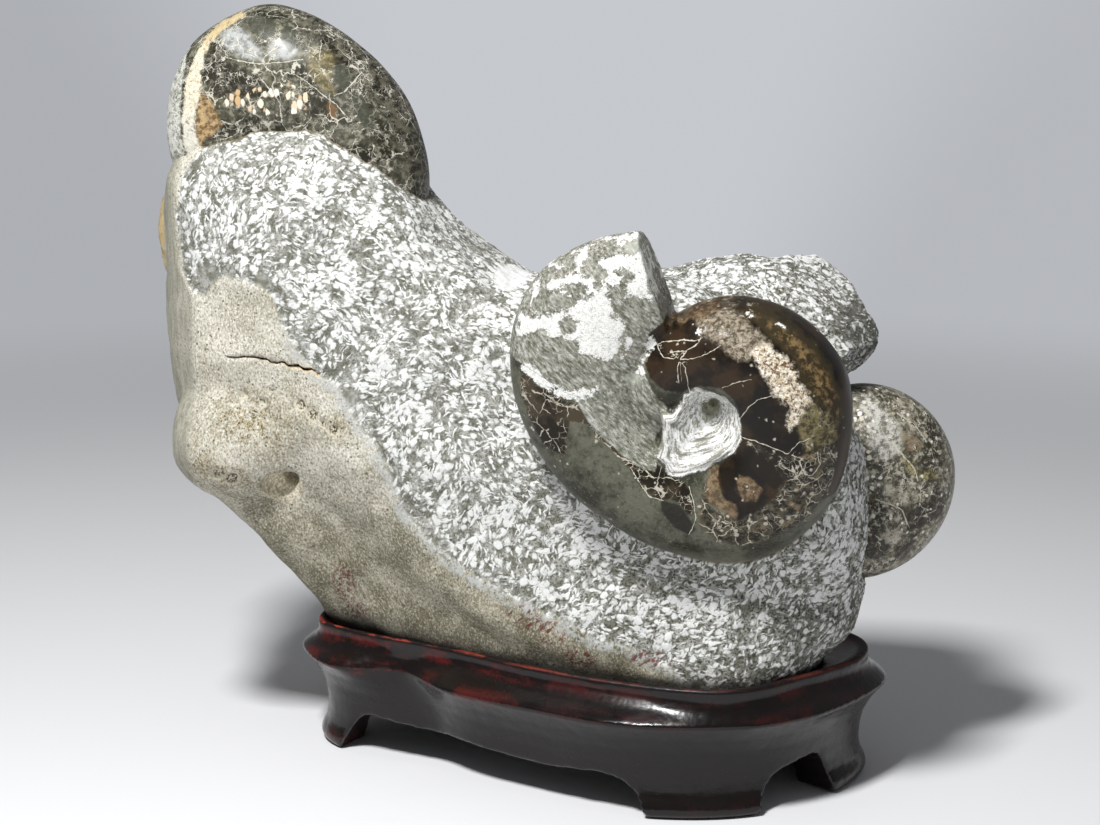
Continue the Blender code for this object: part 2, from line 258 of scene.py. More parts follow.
def make_stage():
    """Lay a wide pale floor that turns into the backdrop further off, and set the surroundings."""
    bm = bmesh.new()
    bmesh.ops.create_circle(bm, cap_ends=True, segments=96, radius=FLOOR_RADIUS)
    mesh = bpy.data.meshes.new("floor")
    bm.to_mesh(mesh)
    bm.free()
    floor = link(bpy.data.objects.new("floor", mesh))
    floor.location = (0.0, 0.0, -FLOOR_DROP)
    mat, b, shader = new_material("pale floor")
    at = b.node("ShaderNodeTexCoord")["Object"]
    away = b.node("ShaderNodeVectorMath", {0: at}, operation="LENGTH")["Value"]
    far = b.step(away, *FLOOR_FADE)
    # Painted light: the backdrop's glow is painted darker to both sides of its middle, as a falloff of
    # light.
    across = b.math("DIVIDE", b.vector("DOT_PRODUCT", at, VIEW_RIGHT, "Value"), b.most(away, 0.1))
    edge = b.most(b.step(across, *LEFT_PAINTED_FALLOFF), b.step(across, *RIGHT_PAINTED_FALLOFF))
    fill_shader(b, shader, base_color=b.blend(far, NEAR_FLOOR, FAR_FLOOR),
                emission_color=b.blend(far, BLACK, b.blend(edge, BACKDROP, BLACK)),
                emission_strength=0.93, roughness=0.6, specular_ior_level=0.15)
    mesh.materials.append(mat)

    world = bpy.data.worlds.new("studio")
    world.use_nodes = True
    b = Board(world.node_tree)
    seen = b.node("ShaderNodeLightPath")["Is Camera Ray"]
    b.fill(world.node_tree.nodes["Background"].inputs["Color"], b.blend(seen, SURROUNDINGS, BACKDROP))
    bpy.context.scene.world = world
    bpy.context.scene.view_settings.view_transform = "Standard"


make_camera()
make_stage()
make_key_light()

# ---- Sizes in millimetres, the same as the solids have ----
def pairs(*flat):
    """Return flat numbers as points of two."""
    return [flat[i:i + 2] for i in range(0, len(flat), 2)]


def triples(*flat):
    """Return flat numbers as points of three."""
    return [flat[i:i + 3] for i in range(0, len(flat), 3)]


STAND_MIDDLE = (16.0, 5.0)
RIM_OUTLINE = pairs(
    -83, -39, -70, -44, -50, -46, -28, -46, -5, -47.5, 20, -50.5, 45, -50.5, 66, -48.5, 84, -44.5, 97, -38,
    106, -26, 112, -10, 117, 4, 121, 22, 118, 38, 108, 50, 90, 56, 60, 57, 25, 58, -10, 56, -40, 54, -65,
    54, -83, 47, -91, 30, -93, 5, -91, -20)
RIDGE_OUTLINE = pairs(
    -87, -43, -76, -51, -65, -54.5, -54, -52, -42, -47, -32, -48.5, -14, -57, 5, -59.5, 30, -60, 53, -60,
    66, -57.8, 78, -53.5, 90, -47, 100, -40, 108, -33, 115, -22, 121, -8, 125, 12, 126, 32, 122, 46, 112,
    58, 95, 64, 78, 66, 62, 61, 35, 65, -10, 65, -34, 59, -58, 62, -76, 61, -90, 52, -98, 35, -95, 16, -98,
    -3, -98, -22, -94, -35)
# Level by level up the carved side: (height, share of the way from rim to ridge, outset, how far the
# plan is calmed below the ridge).
SIDE_PROFILE = (
    (0, 1, -7.4, 1), (1.2, 1, -6, 1), (3.4, 1, -5.4, 1), (5.6, 1, -6.4, 1), (8.5, 1, -7.9, 1),
    (13, 1, -8.6, 1), (19, 1, -8.2, 1), (25, 1, -6.8, 1), (30.5, 1, -4.2, 0.7), (34.4, 1, -1.6, 0.25),
    (36, 1, -0.2, 0), (36.9, 0.98, 0, 0), (38.6, 0.84, -0.9, 0), (41.5, 0.46, -1.6, 0), (45, 0.08, -1.1, 0),
    (47.4, 0, 0, 0), (48.7, 0, -0.2, 0), (49.5, 0, -1.2, 0), (49.3, 0, -2.6, 0), (47.6, 0, -4.4, 0),
    (46.4, 0, -7.5, 0), (46.2, 0, -20, 0),
)
HOLLOW_TOP = 31.0
HOLLOW_INSET = 25.0
FRONT_ARCH = pairs(
    -69.5, -4, -68.5, 1, -66.5, 4.5, -63.5, 9, -60, 13.2, -56.5, 15.7, -52, 16.3, -45, 15.3, -29, 14.2, -8,
    14.6, 12, 13.6, 28, 12.9, 44, 14.2, 53, 14.6, 58.5, 13.6, 63, 11.2, 66.5, 8, 69, 4, 71, -4)
BACK_ARCH = pairs(
    -66, -4, -62, 7, -54, 12.5, 0, 11.5, 62, 12.5, 76, 7, 80, -4)
RIGHT_ARCH = pairs(
    -32, -4, -30.5, 3.5, -28.3, 8, -25, 12, -20.5, 14.8, -13, 16.6, -6, 17.6, -1.5, 17, 2, 13.5, 4.2, 9,
    5.8, 4.5, 9, -4)
LEFT_ARCH = pairs(
    -22, -4, -19, 6, -12, 12, 4, 13, 22, 12, 29, 6, 32, -4)

# Cuts across the stone: (along, crest, front shoulder, front brow, slope, front foot, back foot,
# back belly, back shoulder), each as (across, height).
ROCK_SECTIONS = (
    (-154, (8, 205), (0, 195), (0, 165), (2, 152), (4, 140), (14, 142), (20, 165), (18, 195)),
    (-150, (8, 226), (-12, 208), (-12, 160), (-8, 138), (-2, 122), (20, 124), (30, 160), (28, 208)),
    (-141, (6, 238), (-26, 224), (-27, 160), (-22, 130), (-14, 108), (28, 110), (44, 160), (38, 220)),
    (-127, (2, 240), (-33, 230), (-39, 168), (-35, 130), (-24, 98), (38, 100), (53, 160), (46, 226)),
    (-111, (0, 242), (-34, 234), (-43, 172), (-36, 122), (-22, 84), (44, 86), (59, 150), (50, 228)),
    (-97, (0, 242), (-36, 234), (-46, 164), (-34, 108), (-12, 64), (50, 64), (63, 140), (50, 226)),
    (-82, (0, 242), (-38, 234), (-47, 148), (-30, 96), (-6, 42), (60, 42), (66, 130), (50, 222)),
    (-57, (0, 227), (-40, 214), (-48, 120), (-34, 80), (-18, 40), (60, 40), (66, 120), (48, 202)),
    (-35, (0, 204), (-42, 188), (-49, 94), (-38, 66), (-27, 40), (50, 40), (62, 115), (46, 184)),
    (-10, (2, 187), (-44, 168), (-51, 74), (-43, 56), (-35, 40), (42, 40), (58, 110), (46, 168)),
    (20, (8, 186), (-42, 165), (-53, 60), (-49, 50), (-45, 40), (32, 40), (52, 110), (44, 166)),
    (55, (12, 191), (-38, 168), (-55, 58), (-53, 49), (-50, 40), (22, 40), (46, 110), (42, 172)),
    (82, (14, 192), (-34, 160), (-56, 62), (-56, 50), (-53, 40), (14, 40), (40, 110), (40, 174)),
    (100, (14, 178), (-26, 145), (-48, 70), (-44, 54), (-38, 42), (8, 42), (32, 105), (34, 160)),
    (110, (10, 152), (-18, 132), (-36, 84), (-31, 68), (-26, 52), (4, 54), (22, 95), (24, 140)),
    (117, (4, 130), (-6, 122), (-14, 95), (-10, 84), (-6, 74), (2, 76), (8, 98), (10, 120)),
)
# Lumps that grow out of the stone: (centre, half sizes, turn about Z in degrees).
ROCK_LUMPS = (
    ((-112, -20, 124), (33, 27, 27), 10),      # porous boss
    ((-151, 10, 199), (9, 11, 23), 0),         # crust on the left end
    ((58, -40, 118), (62, 17, 66), 0),         # pedestal of the front shell
    ((40, -24, 162), (42, 28, 30), 0),         # backing of the front shell
    ((105, -22, 106), (21, 24, 44), 0),        # saddle to the right shell
    ((99, 6, 181), (19, 25, 18), 15),          # rear lump and its two shoulders
    ((106, 2, 166), (19, 24, 15), 0),
    ((70, 8, 178), (34, 22, 18), 0),
    ((106, -14, 70), (16, 30, 20), -10),       # lower right knob
)
# The hollow in the rind, seen close: a scoop and the hole at its right end (centre, half sizes).
HOLLOW = (((-97.0, -38.0, 107.2), (7.4, 8.2, 6.6)), ((-93.4, -33.0, 111.2), (4.4, 9.5, 3.6)))

# Flat breaks on the rear lump, in the stone's frame: (outward direction, distance), and their middle.
LUMP_BREAKS = (((0.80, -0.45, 0.40), 165.2), ((0.82, -0.40, -0.40), 35.2), ((0.25, -0.93, 0.25), 85.6),
               ((0.45, -0.30, 0.84), 200.5))
LUMP_MIDDLE = (103, 2, 172)

# Shells: (centre in the stone's frame, azimuth and elevation of the axis, direction of the mouth in
# degrees, then stations (turn back from the mouth, outer radius, inner radius, half width)).
FRONT_SHELL = (
    (69.7, -58.0, 148.5), 21.0, -10.0, 109.0,
    ((0, 69, 27, 13), (12, 73, 26, 13.5), (30, 77, 24, 14.5), (45, 75, 22, 16), (60, 70.5, 20, 17),
     (90, 60.5, 16, 18.5), (120, 54, 11, 20), (150, 53.5, 8, 21.5), (180, 57, 7, 22.5),
     (210, 55, 7, 23.5), (240, 51.5, 7, 24), (270, 51.5, 7, 24), (300, 47.5, 7, 23),
     (330, 42.5, 6.5, 21), (360, 36, 6, 18.5), (400, 30.5, 5, 15), (450, 23, 4, 10.5),
     (510, 16, 3, 7.5), (600, 9, 1.5, 4.5)),
)
TOP_SHELL = (
    (-101.1, -6.0, 233.1), 22.0, 4.0, -100.0,
    ((0, 62, 2, 25), (80, 57.5, -2, 24.5), (106, 51.5, -4, 24), (137, 48, -4, 23), (155, 47.6, -4, 23),
     (170, 49.2, -4, 23), (186, 52.4, -4, 23), (197, 55, -4, 22.5), (212, 54.2, -4, 22),
     (234, 53.6, -4, 21), (260, 49, -4, 20), (310, 42, -4, 18), (360, 35, -3, 16), (450, 24, -2, 12)),
)
RIGHT_SHELL = (
    (117.2, 4.0, 112.6), 44.0, -4.0, 172.0,
    ((0, 38, -8, 19), (60, 38.5, -10, 19.5), (110, 38, -10, 19.5), (200, 37.5, -10, 19.5),
     (280, 36.5, -10, 18.5), (330, 34, -8, 18), (360, 31, -8, 16), (450, 22, -4, 12)),
)


# ---- Mesh tools ----
def spline(a, b, c, d, shares):
    """Return points of a Catmull-Rom curve at shares of the way from b to c."""
    return [0.5 * (2 * b + (c - a) * t + (2 * a - 5 * b + 4 * c - d) * t**2 + (3 * b - a - 3 * c + d) * t**3)
            for t in shares]


def resample(points, along, want):
    """Read a dense curve at the wanted lengths."""
    return np.stack([np.interp(want, along, points[:, k]) for k in range(points.shape[1])], axis=1)


def lengths(points):
    """Return how far along a path each of its points lies."""
    return np.concatenate([[0.0], np.cumsum(np.linalg.norm(np.diff(points, axis=0), axis=1))])


def smooth_loop(points, count):
    """Return a closed smooth curve through the points, as count samples by arc length."""
    pts = np.array(points, float)
    shares = np.linspace(0.0, 1.0, 16, endpoint=False)
    dense = []
    for i in range(len(pts)):
        dense += spline(*(pts[(i + k) % len(pts)] for k in (-1, 0, 1, 2)), shares)
    dense = np.array(dense + dense[:1])
    along = lengths(dense)
    return resample(dense, along, np.linspace(0.0, along[-1], count, endpoint=False))


def smooth_open(points, count):
    """Return an open smooth curve through the points, as count samples by arc length."""
    pts = np.array(points, float)
    along = lengths(pts)
    ends = np.vstack([2 * pts[0] - pts[1], pts, 2 * pts[-1] - pts[-2]])
    shares = np.linspace(0.0, 1.0, 12, endpoint=False)
    dense, at = [], []
    for i in range(len(pts) - 1):
        dense += spline(*ends[i:i + 4], shares)
        at += [along[i] + t * (along[i + 1] - along[i]) for t in shares]
    dense, at = np.array(dense + [pts[-1]]), np.array(at + [along[-1]])
    return resample(dense, at, np.linspace(0.0, along[-1], count))


def reach(outline, angles):
    """Return how far an outline lies from the stand's middle in each direction."""
    pts = smooth_loop(outline, 1440) - np.array(STAND_MIDDLE)
    angle = np.arctan2(pts[:, 1], pts[:, 0])
    order = np.argsort(angle)
    return np.interp(angles, angle[order], np.linalg.norm(pts[order], axis=1), period=2 * math.pi)


def skin(bm, rings):
    """Join closed rings of equal length with faces, and close both ends."""
    rows = [[bm.verts.new(Vector(p)) for p in ring] for ring in rings]
    count = len(rows[0])
    for low, high in zip(rows, rows[1:]):
        for i in range(count):
            j = (i + 1) % count
            bm.faces.new((low[i], low[j], high[j], high[i]))
    bm.faces.new(list(reversed(rows[0])))
    bm.faces.new(rows[-1])


def add_ellipsoid(bm, centre, half, turn=0.0, detail=4):
    """Add a closed ellipsoid lump."""
    place = (Matrix.Translation(centre) @ Matrix.Rotation(math.radians(turn), 4, "Z")
             @ Matrix.Diagonal((*half, 1.0)))
    bmesh.ops.create_icosphere(bm, subdivisions=detail, radius=1.0, matrix=place)


@contextmanager
def editing(obj):
    """Open an object's mesh for editing, and write it back afterwards."""
    bm = bmesh.new()
    bm.from_mesh(obj.data)
    yield bm
    bm.to_mesh(obj.data)
    bm.free()


def new_object(name, bm):
    """Turn a bmesh in millimetres of the measuring frame into an object in metres of that frame."""
    bm.transform(Matrix.Scale(MM, 4))
    bmesh.ops.recalc_face_normals(bm, faces=bm.faces)
    for face in bm.faces:
        face.smooth = True
    mesh = bpy.data.meshes.new(name)
    bm.to_mesh(mesh)
    bm.free()
    return link(bpy.data.objects.new(name, mesh))


def modify(obj, kind, **settings):
    """Add a modifier and set its options."""
    mod = obj.modifiers.new(kind.lower(), kind)
    for name, value in settings.items():
        setattr(mod, name, value)
    return mod


def remesh(obj, voxel):
    """Add a voxel remesh with a voxel in millimetres."""
    modify(obj, "REMESH", mode="VOXEL", voxel_size=voxel * MM, use_smooth_shade=True)


def soften(obj, rounds, factor=0.6):
    """Add a smoothing of the surface."""
    modify(obj, "SMOOTH", iterations=rounds, factor=factor)


def cut_away(obj, other):
    """Take another object away."""
    modify(obj, "BOOLEAN", operation="DIFFERENCE", solver="EXACT", object=other)


def thin(obj, triangles, faces, **settings):
    """Thin a mesh of so many faces to about so many triangles."""
    modify(obj, "DECIMATE", ratio=min(1.0, triangles / faces), **settings)
    settle(obj)


def settle(obj):
    """Turn the evaluated object into a plain mesh and drop its modifiers."""
    graph = bpy.context.evaluated_depsgraph_get()
    mesh = bpy.data.meshes.new_from_object(obj.evaluated_get(graph))
    old, obj.data = obj.data, mesh
    obj.modifiers.clear()
    mesh.name = obj.name
    if not old.users:
        bpy.data.meshes.remove(old)
    return obj


def drop(*objs):
    """Remove objects that only shaped others."""
    for obj in objs:
        mesh = obj.data
        bpy.data.objects.remove(obj)
        if not mesh.users:
            bpy.data.meshes.remove(mesh)


def read_vectors(items, name):
    """Read one vector per item as an array."""
    flat = np.empty(len(items) * 3)
    items.foreach_get(name, flat)
    return flat.reshape(-1, 3)


def points_of(obj):
    """Return the vertices of an object as an array."""
    return read_vectors(obj.data.vertices, "co")


def rest_of(obj):
    """Return a shell's own coordinates, kept on its vertices, in millimetres."""
    return read_vectors(obj.data.attributes["rest"].data, "vector") / MM


def move_points(obj, points):
    """Put the vertices of an object elsewhere."""
    obj.data.vertices.foreach_set("co", np.ascontiguousarray(points).ravel())
    obj.data.update()


def paint(obj, name, values):
    """Store a number or a vector for every vertex."""
    values = np.asarray(values, float)
    old = obj.data.attributes.get(name)
    if old:
        obj.data.attributes.remove(old)
    kind, field = ("FLOAT_VECTOR", "vector") if values.ndim == 2 else ("FLOAT", "value")
    obj.data.attributes.new(name, kind, "POINT").data.foreach_set(field, values.ravel())


def share(values, start, end):
    """Return how far values have gone from start to end, held between 0 and 1."""
    return np.clip((values - start) / (end - start), 0.0, 1.0)


def to_segment(points, a, b):
    """Return how far points lie from a straight piece of a path."""
    ab = b - a
    t = np.clip(((points - a) @ ab) / max(ab @ ab, 1e-12), 0.0, 1.0)
    return np.linalg.norm(points - a - t[:, None] * ab, axis=1)


def outline_distance(points, outline):
    """Return how far 2-D points lie inside an outline, in its own unit; below zero outside."""
    loop = np.asarray(outline, float)
    best = np.full(len(points), 1e9)
    inside = np.zeros(len(points), bool)
    for a, b in zip(loop, np.roll(loop, -1, axis=0)):
        best = np.minimum(best, to_segment(points, a, b))
        if a[1] != b[1]:
            cross = (points[:, 1] < a[1]) != (points[:, 1] < b[1])
            inside ^= cross & (points[:, 0] < a[0] + (points[:, 1] - a[1]) / (b[1] - a[1]) * (b[0] - a[0]))
    return np.where(inside, best, -best)


def path_distance(points, path):
    """Return how far points lie from an open path."""
    path = np.asarray(path, float)
    return np.minimum.reduce([to_segment(points, a, b) for a, b in zip(path, path[1:])])


def soft_bump(points, centre, half):
    """Return 1 at a centre, falling smoothly to 0 at the half sizes."""
    away = np.linalg.norm((points - np.array(centre, float)) / np.array(half, float), axis=1)
    return np.clip(1.0 - away, 0.0, 1.0) ** 2 * (1.0 + 2.0 * np.clip(away, 0.0, 1.0))


def to_stone(points):
    """Carry points in metres of the measuring frame to the stone's own frame in millimetres."""
    c, s = math.cos(ROCK_TURN), math.sin(ROCK_TURN)
    x, y, z = (points / MM).T
    return np.stack([x * c + y * s, -x * s + y * c, z], axis=1)


def shell_frame(shell):
    """Return the matrix that carries a shell from its own axes to the measuring frame."""
    centre, azimuth, elevation = shell[:3]
    azimuth, elevation = math.radians(azimuth), math.radians(elevation)
    axis = Vector((math.sin(azimuth) * math.cos(elevation), -math.cos(azimuth) * math.cos(elevation),
                   math.sin(elevation)))
    right = Vector((math.cos(azimuth), math.sin(azimuth), 0.0))
    place = Matrix((right, axis.cross(right), axis)).transposed().to_4x4()
    place.translation = Matrix.Rotation(ROCK_TURN, 3, "Z") @ Vector(centre)
    return place


def to_shell(points, shell):
    """Carry points in metres of the measuring frame to a shell's own axes in millimetres."""
    back = np.array(shell_frame(shell).inverted())
    return points / MM @ back[:3, :3].T + back[:3, 3]


def finish_piece(obj, node, look):
    """Put a finished mesh over the part's origin, inside the solids' box, and let it stand for its node."""
    low, high = (np.array(corner) for corner in cad_box)
    points = points_of(obj) + np.array(SHIFT) * MM
    move_points(obj, np.clip(points, low + INSET * MM, high - INSET * MM))
    obj.data.materials.clear()
    obj.data.materials.append(look)
    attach(obj, "root")
    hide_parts(node)


# ---- The stone ----
# Where the chisel worked, seen from the stone's front: inside this outline (along, height).
CHISELLED = pairs(
    -126, 300, -127.5, 234, -133.5, 226, -136.5, 212, -137, 196, -134.5, 188, -130, 181, -124.5, 180,
    -119.5, 185, -116, 189, -110, 188, -100.6, 186, -94.5, 182, -91.5, 172, -86, 163, -78.2, 155, -70.2,
    150, -64.9, 141, -56.3, 130, -49.5, 119, -44.3, 104, -34.6, 93.3, -26.8, 86.3, -15.3, 80.2, -5.6, 75.3,
    4.2, 71.7, 15.9, 66.5, 31, 60.8, 42.2, 58.8, 51.4, 54.7, 58, 51.9, 65, 46, 67, 38, 220, 38, 220, 300)
# Single chips and pits in the rind: their middles and how wide they are.
CHIPS = (((-108.2, -40.7, 143.4), 1.7), ((-100.8, -42.6, 141.4), 1.7), ((-84.9, -45.5, 141.6), 2.6),
         ((-80.0, -46.3, 138.2), 2.8), ((-76.0, -47.0, 135.0), 1.8), ((-71.5, -47.5, 133.1), 2.4),
         ((-113.1, -43.7, 111.1), 3.2), ((-119.4, -45.1, 113.0), 2.6), ((-104.0, -42.0, 137.0), 1.3),
         ((-111.5, -41.5, 134.5), 1.5), ((-96.5, -43.5, 146.0), 1.2))
# The way the strokes lie, measured here and there: (along, height, degrees up from level).
STROKE_LAY = triples(
    -118, 215, 75, -100, 225, 2, -75, 228, -14, -50, 208, -36, -30, 190, -40, -105, 195, 20, -80, 195, -8,
    -50, 175, -30, -60, 150, 20, -35, 120, 40, -20, 95, 42, 0, 75, 38, -10, 130, -50, 0, 170, -35, 30, 60,
    12, 60, 52, 8, 85, 60, 10, 100, 90, 30, 60, 185, -5, 95, 180, -40, 115, 120, 60)
# The crack's path.
CRACK = triples(
    -111.4, -42.7, 157.9, -107, -43, 158.4, -102.9, -43.3, 158.4, -100.2, -43.5, 158.1, -98, -44.4, 158.2,
    -95.9, -45, 157.2, -93.6, -44.4, 156.9, -92, -44.3, 157.6, -90.5, -44.2, 157.3, -88.5, -44.3, 155.9,
    -87, -44.4, 156.3, -85, -45, 156.5, -83.3, -45.8, 155.2, -79.9, -45.8, 155, -77.5, -46.2, 153.8, -75.2,
    -46.7, 154.3, -70.8, -47.2, 153.4)
CRACK_NEAR = 3.4                               # how near the crack the mesh is made finer
# Where the stone is porous, stained and so on, as soft spots: (strength, middle, half sizes).
STONE_SPOTS = {
    "porous": ((1, (-103, -44, 134), (30, 40, 20)), (1, (-117, -44, 113), (16, 30, 9)),
               (1, (-70, -47, 134), (9, 30, 8)), (0.8, (-126, -42, 118), (12, 30, 14))),
    "red": ((1, (-76, -22, 68), (8, 30, 15)), (0.8, (-72, -22, 56), (10, 30, 7)),
            (1.1, (2, -50, 67), (10, 30, 7)), (1.1, (13, -50, 62), (8, 30, 8)),
            (1, (23, -50, 53), (10, 30, 6)), (0.9, (50, -52, 55), (13, 30, 5)),
            (0.5, (-35, -30, 50), (40, 30, 4))),
    "crust": ((1.6, (-156, 10, 199), (16, 22, 40)),),
    "bare": ((1.8, (-122.3, -38, 187.3), (6, 30, 8)), (1.5, (-98.7, -45, 187.5), (4, 30, 5)),
             (1.2, (-66, -47, 145), (6, 30, 6))),
    "powder": ((2, (-13, -9, 187), (8, 22, 7)), (0.5, (72, -20, 192), (22, 30, 9)),
               (0.9, (98, -22, 190), (8, 18, 10)), (0.9, (104, -34, 138), (12, 25, 14))),
    "hollow": ((2.2, (-97, -33, 107.2), (11, 11, 10)),),
}
# Grime and painted shade on the rear lump's right side, which turns away from the light.
LUMP_GRIME_AND_SHADE = ((1.6, (120, -4, 176), (18, 34, 24)), (1.6, (122, -4, 160), (18, 34, 20)),
              (0.5, (106, -10, 158), (20, 30, 12)))
STONE_TRIANGLES = 192000
ROUGH_VOXEL, FINE_VOXEL = 2.6, 1.0
UNEVEN_SIZE, UNEVEN_HEIGHT = 30, 5.0
CHISEL_REACH = 27.0                            # how far back the chiselled part goes
SHELL_MARGIN = 24.0                            # how far round the shells it goes on behind that
END_FACE, END_STEP = -128.5, 7.5               # where the left end face starts, and its step higher up
ZONE_LIMIT = 20.0                              # painted distances are held within this
FAR_OFF = 0.06                                 # shells are looked for within this, in metres


def rough_mass(name, swell=0.0):
    """Loft the stone's sections, add its lumps and melt them into one natural mass."""
    bm = bmesh.new()
    skin(bm, [[(section[0], y, z) for y, z in smooth_loop(section[1:], 40)] for section in ROCK_SECTIONS])
    for centre, half, turn in ROCK_LUMPS:
        add_ellipsoid(bm, centre, half, turn)
    bm.transform(Matrix.Rotation(ROCK_TURN, 4, "Z"))
    obj = new_object(name, bm)
    remesh(obj, ROUGH_VOXEL)
    soften(obj, 6)
    if not swell:
        remesh(obj, FINE_VOXEL)
        soften(obj, 4)
    texture = bpy.data.textures.get("rough stone") or bpy.data.textures.new("rough stone", "CLOUDS")
    texture.noise_scale, texture.noise_depth = UNEVEN_SIZE * MM, 2
    modify(obj, "DISPLACE", texture=texture, texture_coords="LOCAL", strength=UNEVEN_HEIGHT * MM)
    if swell:
        modify(obj, "DISPLACE", strength=swell * MM, mid_level=0.0)
    return settle(obj)


def cut_level(obj, height):
    """Cut an object level, keep what is above and close it with a flat face."""
    with editing(obj) as bm:
        bmesh.ops.bisect_plane(bm, geom=bm.verts[:] + bm.edges[:] + bm.faces[:], dist=1e-7,
                               plane_co=(0, 0, height * MM), plane_no=(0, 0, -1), clear_outer=True)
        bmesh.ops.holes_fill(bm, edges=[e for e in bm.edges if e.is_boundary], sides=0)
        bmesh.ops.triangulate(bm, faces=[f for f in bm.faces if len(f.verts) > 4])


def break_flat(obj):
    """Press the round rear lump against a few planes, so that it looks broken rather than melted."""
    rest = to_stone(points_of(obj))
    near = share(np.linalg.norm(rest - np.array(LUMP_MIDDLE), axis=1), 36.0, 28.0)
    for direction, distance in LUMP_BREAKS:
        normal = np.array(direction) / np.linalg.norm(direction)
        rest -= (np.clip(rest @ normal - distance, 0.0, None) * near * 0.92)[:, None] * normal
    turn = np.array(Matrix.Rotation(ROCK_TURN, 3, "Z"))
    move_points(obj, rest @ turn.T * MM)


def open_hollow(stone):
    """Cut the small hollow into the rind."""
    bm = bmesh.new()
    for centre, half in HOLLOW:
        add_ellipsoid(bm, centre, half, detail=3)
    bm.transform(Matrix.Rotation(ROCK_TURN, 4, "Z"))
    hole = new_object("hollow in the rind", bm)
    remesh(hole, 0.8)
    soften(hole, 3)
    cut_away(stone, settle(hole))
    settle(stone)
    drop(hole)


def refine_crack(stone):
    """Make the mesh finer along the crack."""
    with editing(stone) as bm:
        for _ in range(2):
            close = path_distance(to_stone(np.array([v.co for v in bm.verts])), CRACK) < CRACK_NEAR
            edges = [e for e in bm.edges if close[e.verts[0].index] and close[e.verts[1].index]]
            bmesh.ops.subdivide_edges(bm, edges=edges, cuts=1, use_grid_fill=True)
            bm.verts.index_update()
            bm.verts.ensure_lookup_table()
        bmesh.ops.triangulate(bm, faces=bm.faces)


def shed_flaps(obj):
    """Take away pairs of faces that thinning has folded onto each other."""
    with editing(obj) as bm:
        seen = {}
        for face in bm.faces:
            seen.setdefault(frozenset(face.verts), []).append(face)
        twins = [face for faces in seen.values() if len(faces) > 1 for face in faces]
        bmesh.ops.delete(bm, geom=twins, context="FACES")


def spots(points, places):
    """Return the strongest of some soft spots, from 0 to 1."""
    return np.clip(np.maximum.reduce([strength * soft_bump(points, centre, half)
                                      for strength, centre, half in places]), 0.0, 1.0)


def stone_zones(obj, shells):
    """Paint the stone's zones on its vertices; gives back how far inside the chiselled part they lie."""
    points = points_of(obj)
    rest = to_stone(points)
    x, y, z = rest.T
    paint(obj, "rest", rest * MM)
    near = np.full(len(points), FAR_OFF / MM)
    for tree in shells:
        found = [tree.find_nearest(Vector(p), FAR_OFF)[3] or FAR_OFF for p in points]
        near = np.minimum(near, np.array(found) / MM)
    front = outline_distance(rest[:, (0, 2)], CHISELLED)
    back = np.maximum(CHISEL_REACH - y, SHELL_MARGIN - near)
    paint(obj, "chiselled", np.clip(np.minimum(front, back), -ZONE_LIMIT, ZONE_LIMIT))
    paint(obj, "near shell", np.clip(near, 0.0, 40.0))
    along, height, lay = np.array(STROKE_LAY, float).T
    weight = 1.0 / (20.0 + (x[:, None] - along) ** 2 + (z[:, None] - height) ** 2) ** 1.5
    lay = 2 * np.radians(lay)
    paint(obj, "lay", 0.5 * np.arctan2((weight * np.sin(lay)).sum(1), (weight * np.cos(lay)).sum(1)))
    paint(obj, "crack", np.clip(path_distance(rest, CRACK), 0.0, ZONE_LIMIT))
    track = np.array(CRACK)
    side = z - np.interp(x, track[:, 0], track[:, 2])
    paint(obj, "crack side", np.clip(side, -ZONE_LIMIT, ZONE_LIMIT))
    for name, places in STONE_SPOTS.items():
        paint(obj, name, spots(rest, places))
    # Grime and painted shade: darker towards the lower right and on the rear lump's right side.
    paint(obj, "grime", share(x, 62.0, 102.0) * share(z, 92.0, 52.0) + 1.3 * spots(rest, LUMP_GRIME_AND_SHADE))
    limit = END_FACE - END_STEP * share(z, 178.0, 190.0)
    paint(obj, "end face", np.clip((limit - x) / 3.0, 0.0, 1.0))
    return front


def chiselled_edge(b, at):
    """How far inside the chiselled part a place lies, with an edge that wanders."""
    return b.zone("chiselled") + b.swing(at, 9.0, 3.0, 0.5, 4.5)


def chisel_marks(b, at):
    """Wire the marks of the chisel; gives back how white, how dark and how high the surface is."""
    lay = b.zone("lay")
    shaky = b.warped(at, 1.8, 0.8, 3.0)
    cover = (b.noise(at, 12.0, 3.0, 0.6) - 0.47) * 0.9
    patches = b.cells(at, 9.0)
    spread = (b.part_of(patches["Color"], 1) - 0.5) * 1.4
    white = 0.0
    for turn, shift, shape, cell, low, high, soft, faintest in (
            (0.3, 0.13, (0.76, 0.80, 1.0), 2.5, 0.15, 0.52, 0.20, 0.62),
            (0.0, 0.00, (0.24, 0.50, 1.0), 1.35, 0.02, 0.44, 0.16, 0.70),
            (0.9, 0.37, (0.28, 0.50, 1.0), 1.20, -0.04, 0.42, 0.16, 0.70),
            (0.1, 0.71, (0.10, 0.40, 1.0), 0.75, -0.30, 0.34, 0.14, 0.75)):
        lined = b.turned(shaky, DEPTH_AXIS, lay + spread + turn, patches["Position"])
        marks = b.cells(b.vector("ADD", b.stretched(lined, shape), (shift, shift, shift)), cell)
        width = b.step(b.part_of(marks["Color"], 0), 0.1, 1.0, low, high) + cover * 0.9
        mark = b.step(width - marks["Distance"], -soft, soft)
        white = b.most(white, mark * b.step(b.part_of(marks["Color"], 2), 0.0, 1.0, faintest, 1.0))
    scoops = b.cells(b.warped(at, 6.0, 1.2), 7.5)["Distance"]
    grit = b.noise(at, 0.9, 3.0, 0.7)
    dark = b.step(grit, 0.48, 0.58) * (1.0 - white)
    height = white * 0.42 + (scoops * scoops * 0.8 + grit * 0.3)
    return white, dark, height


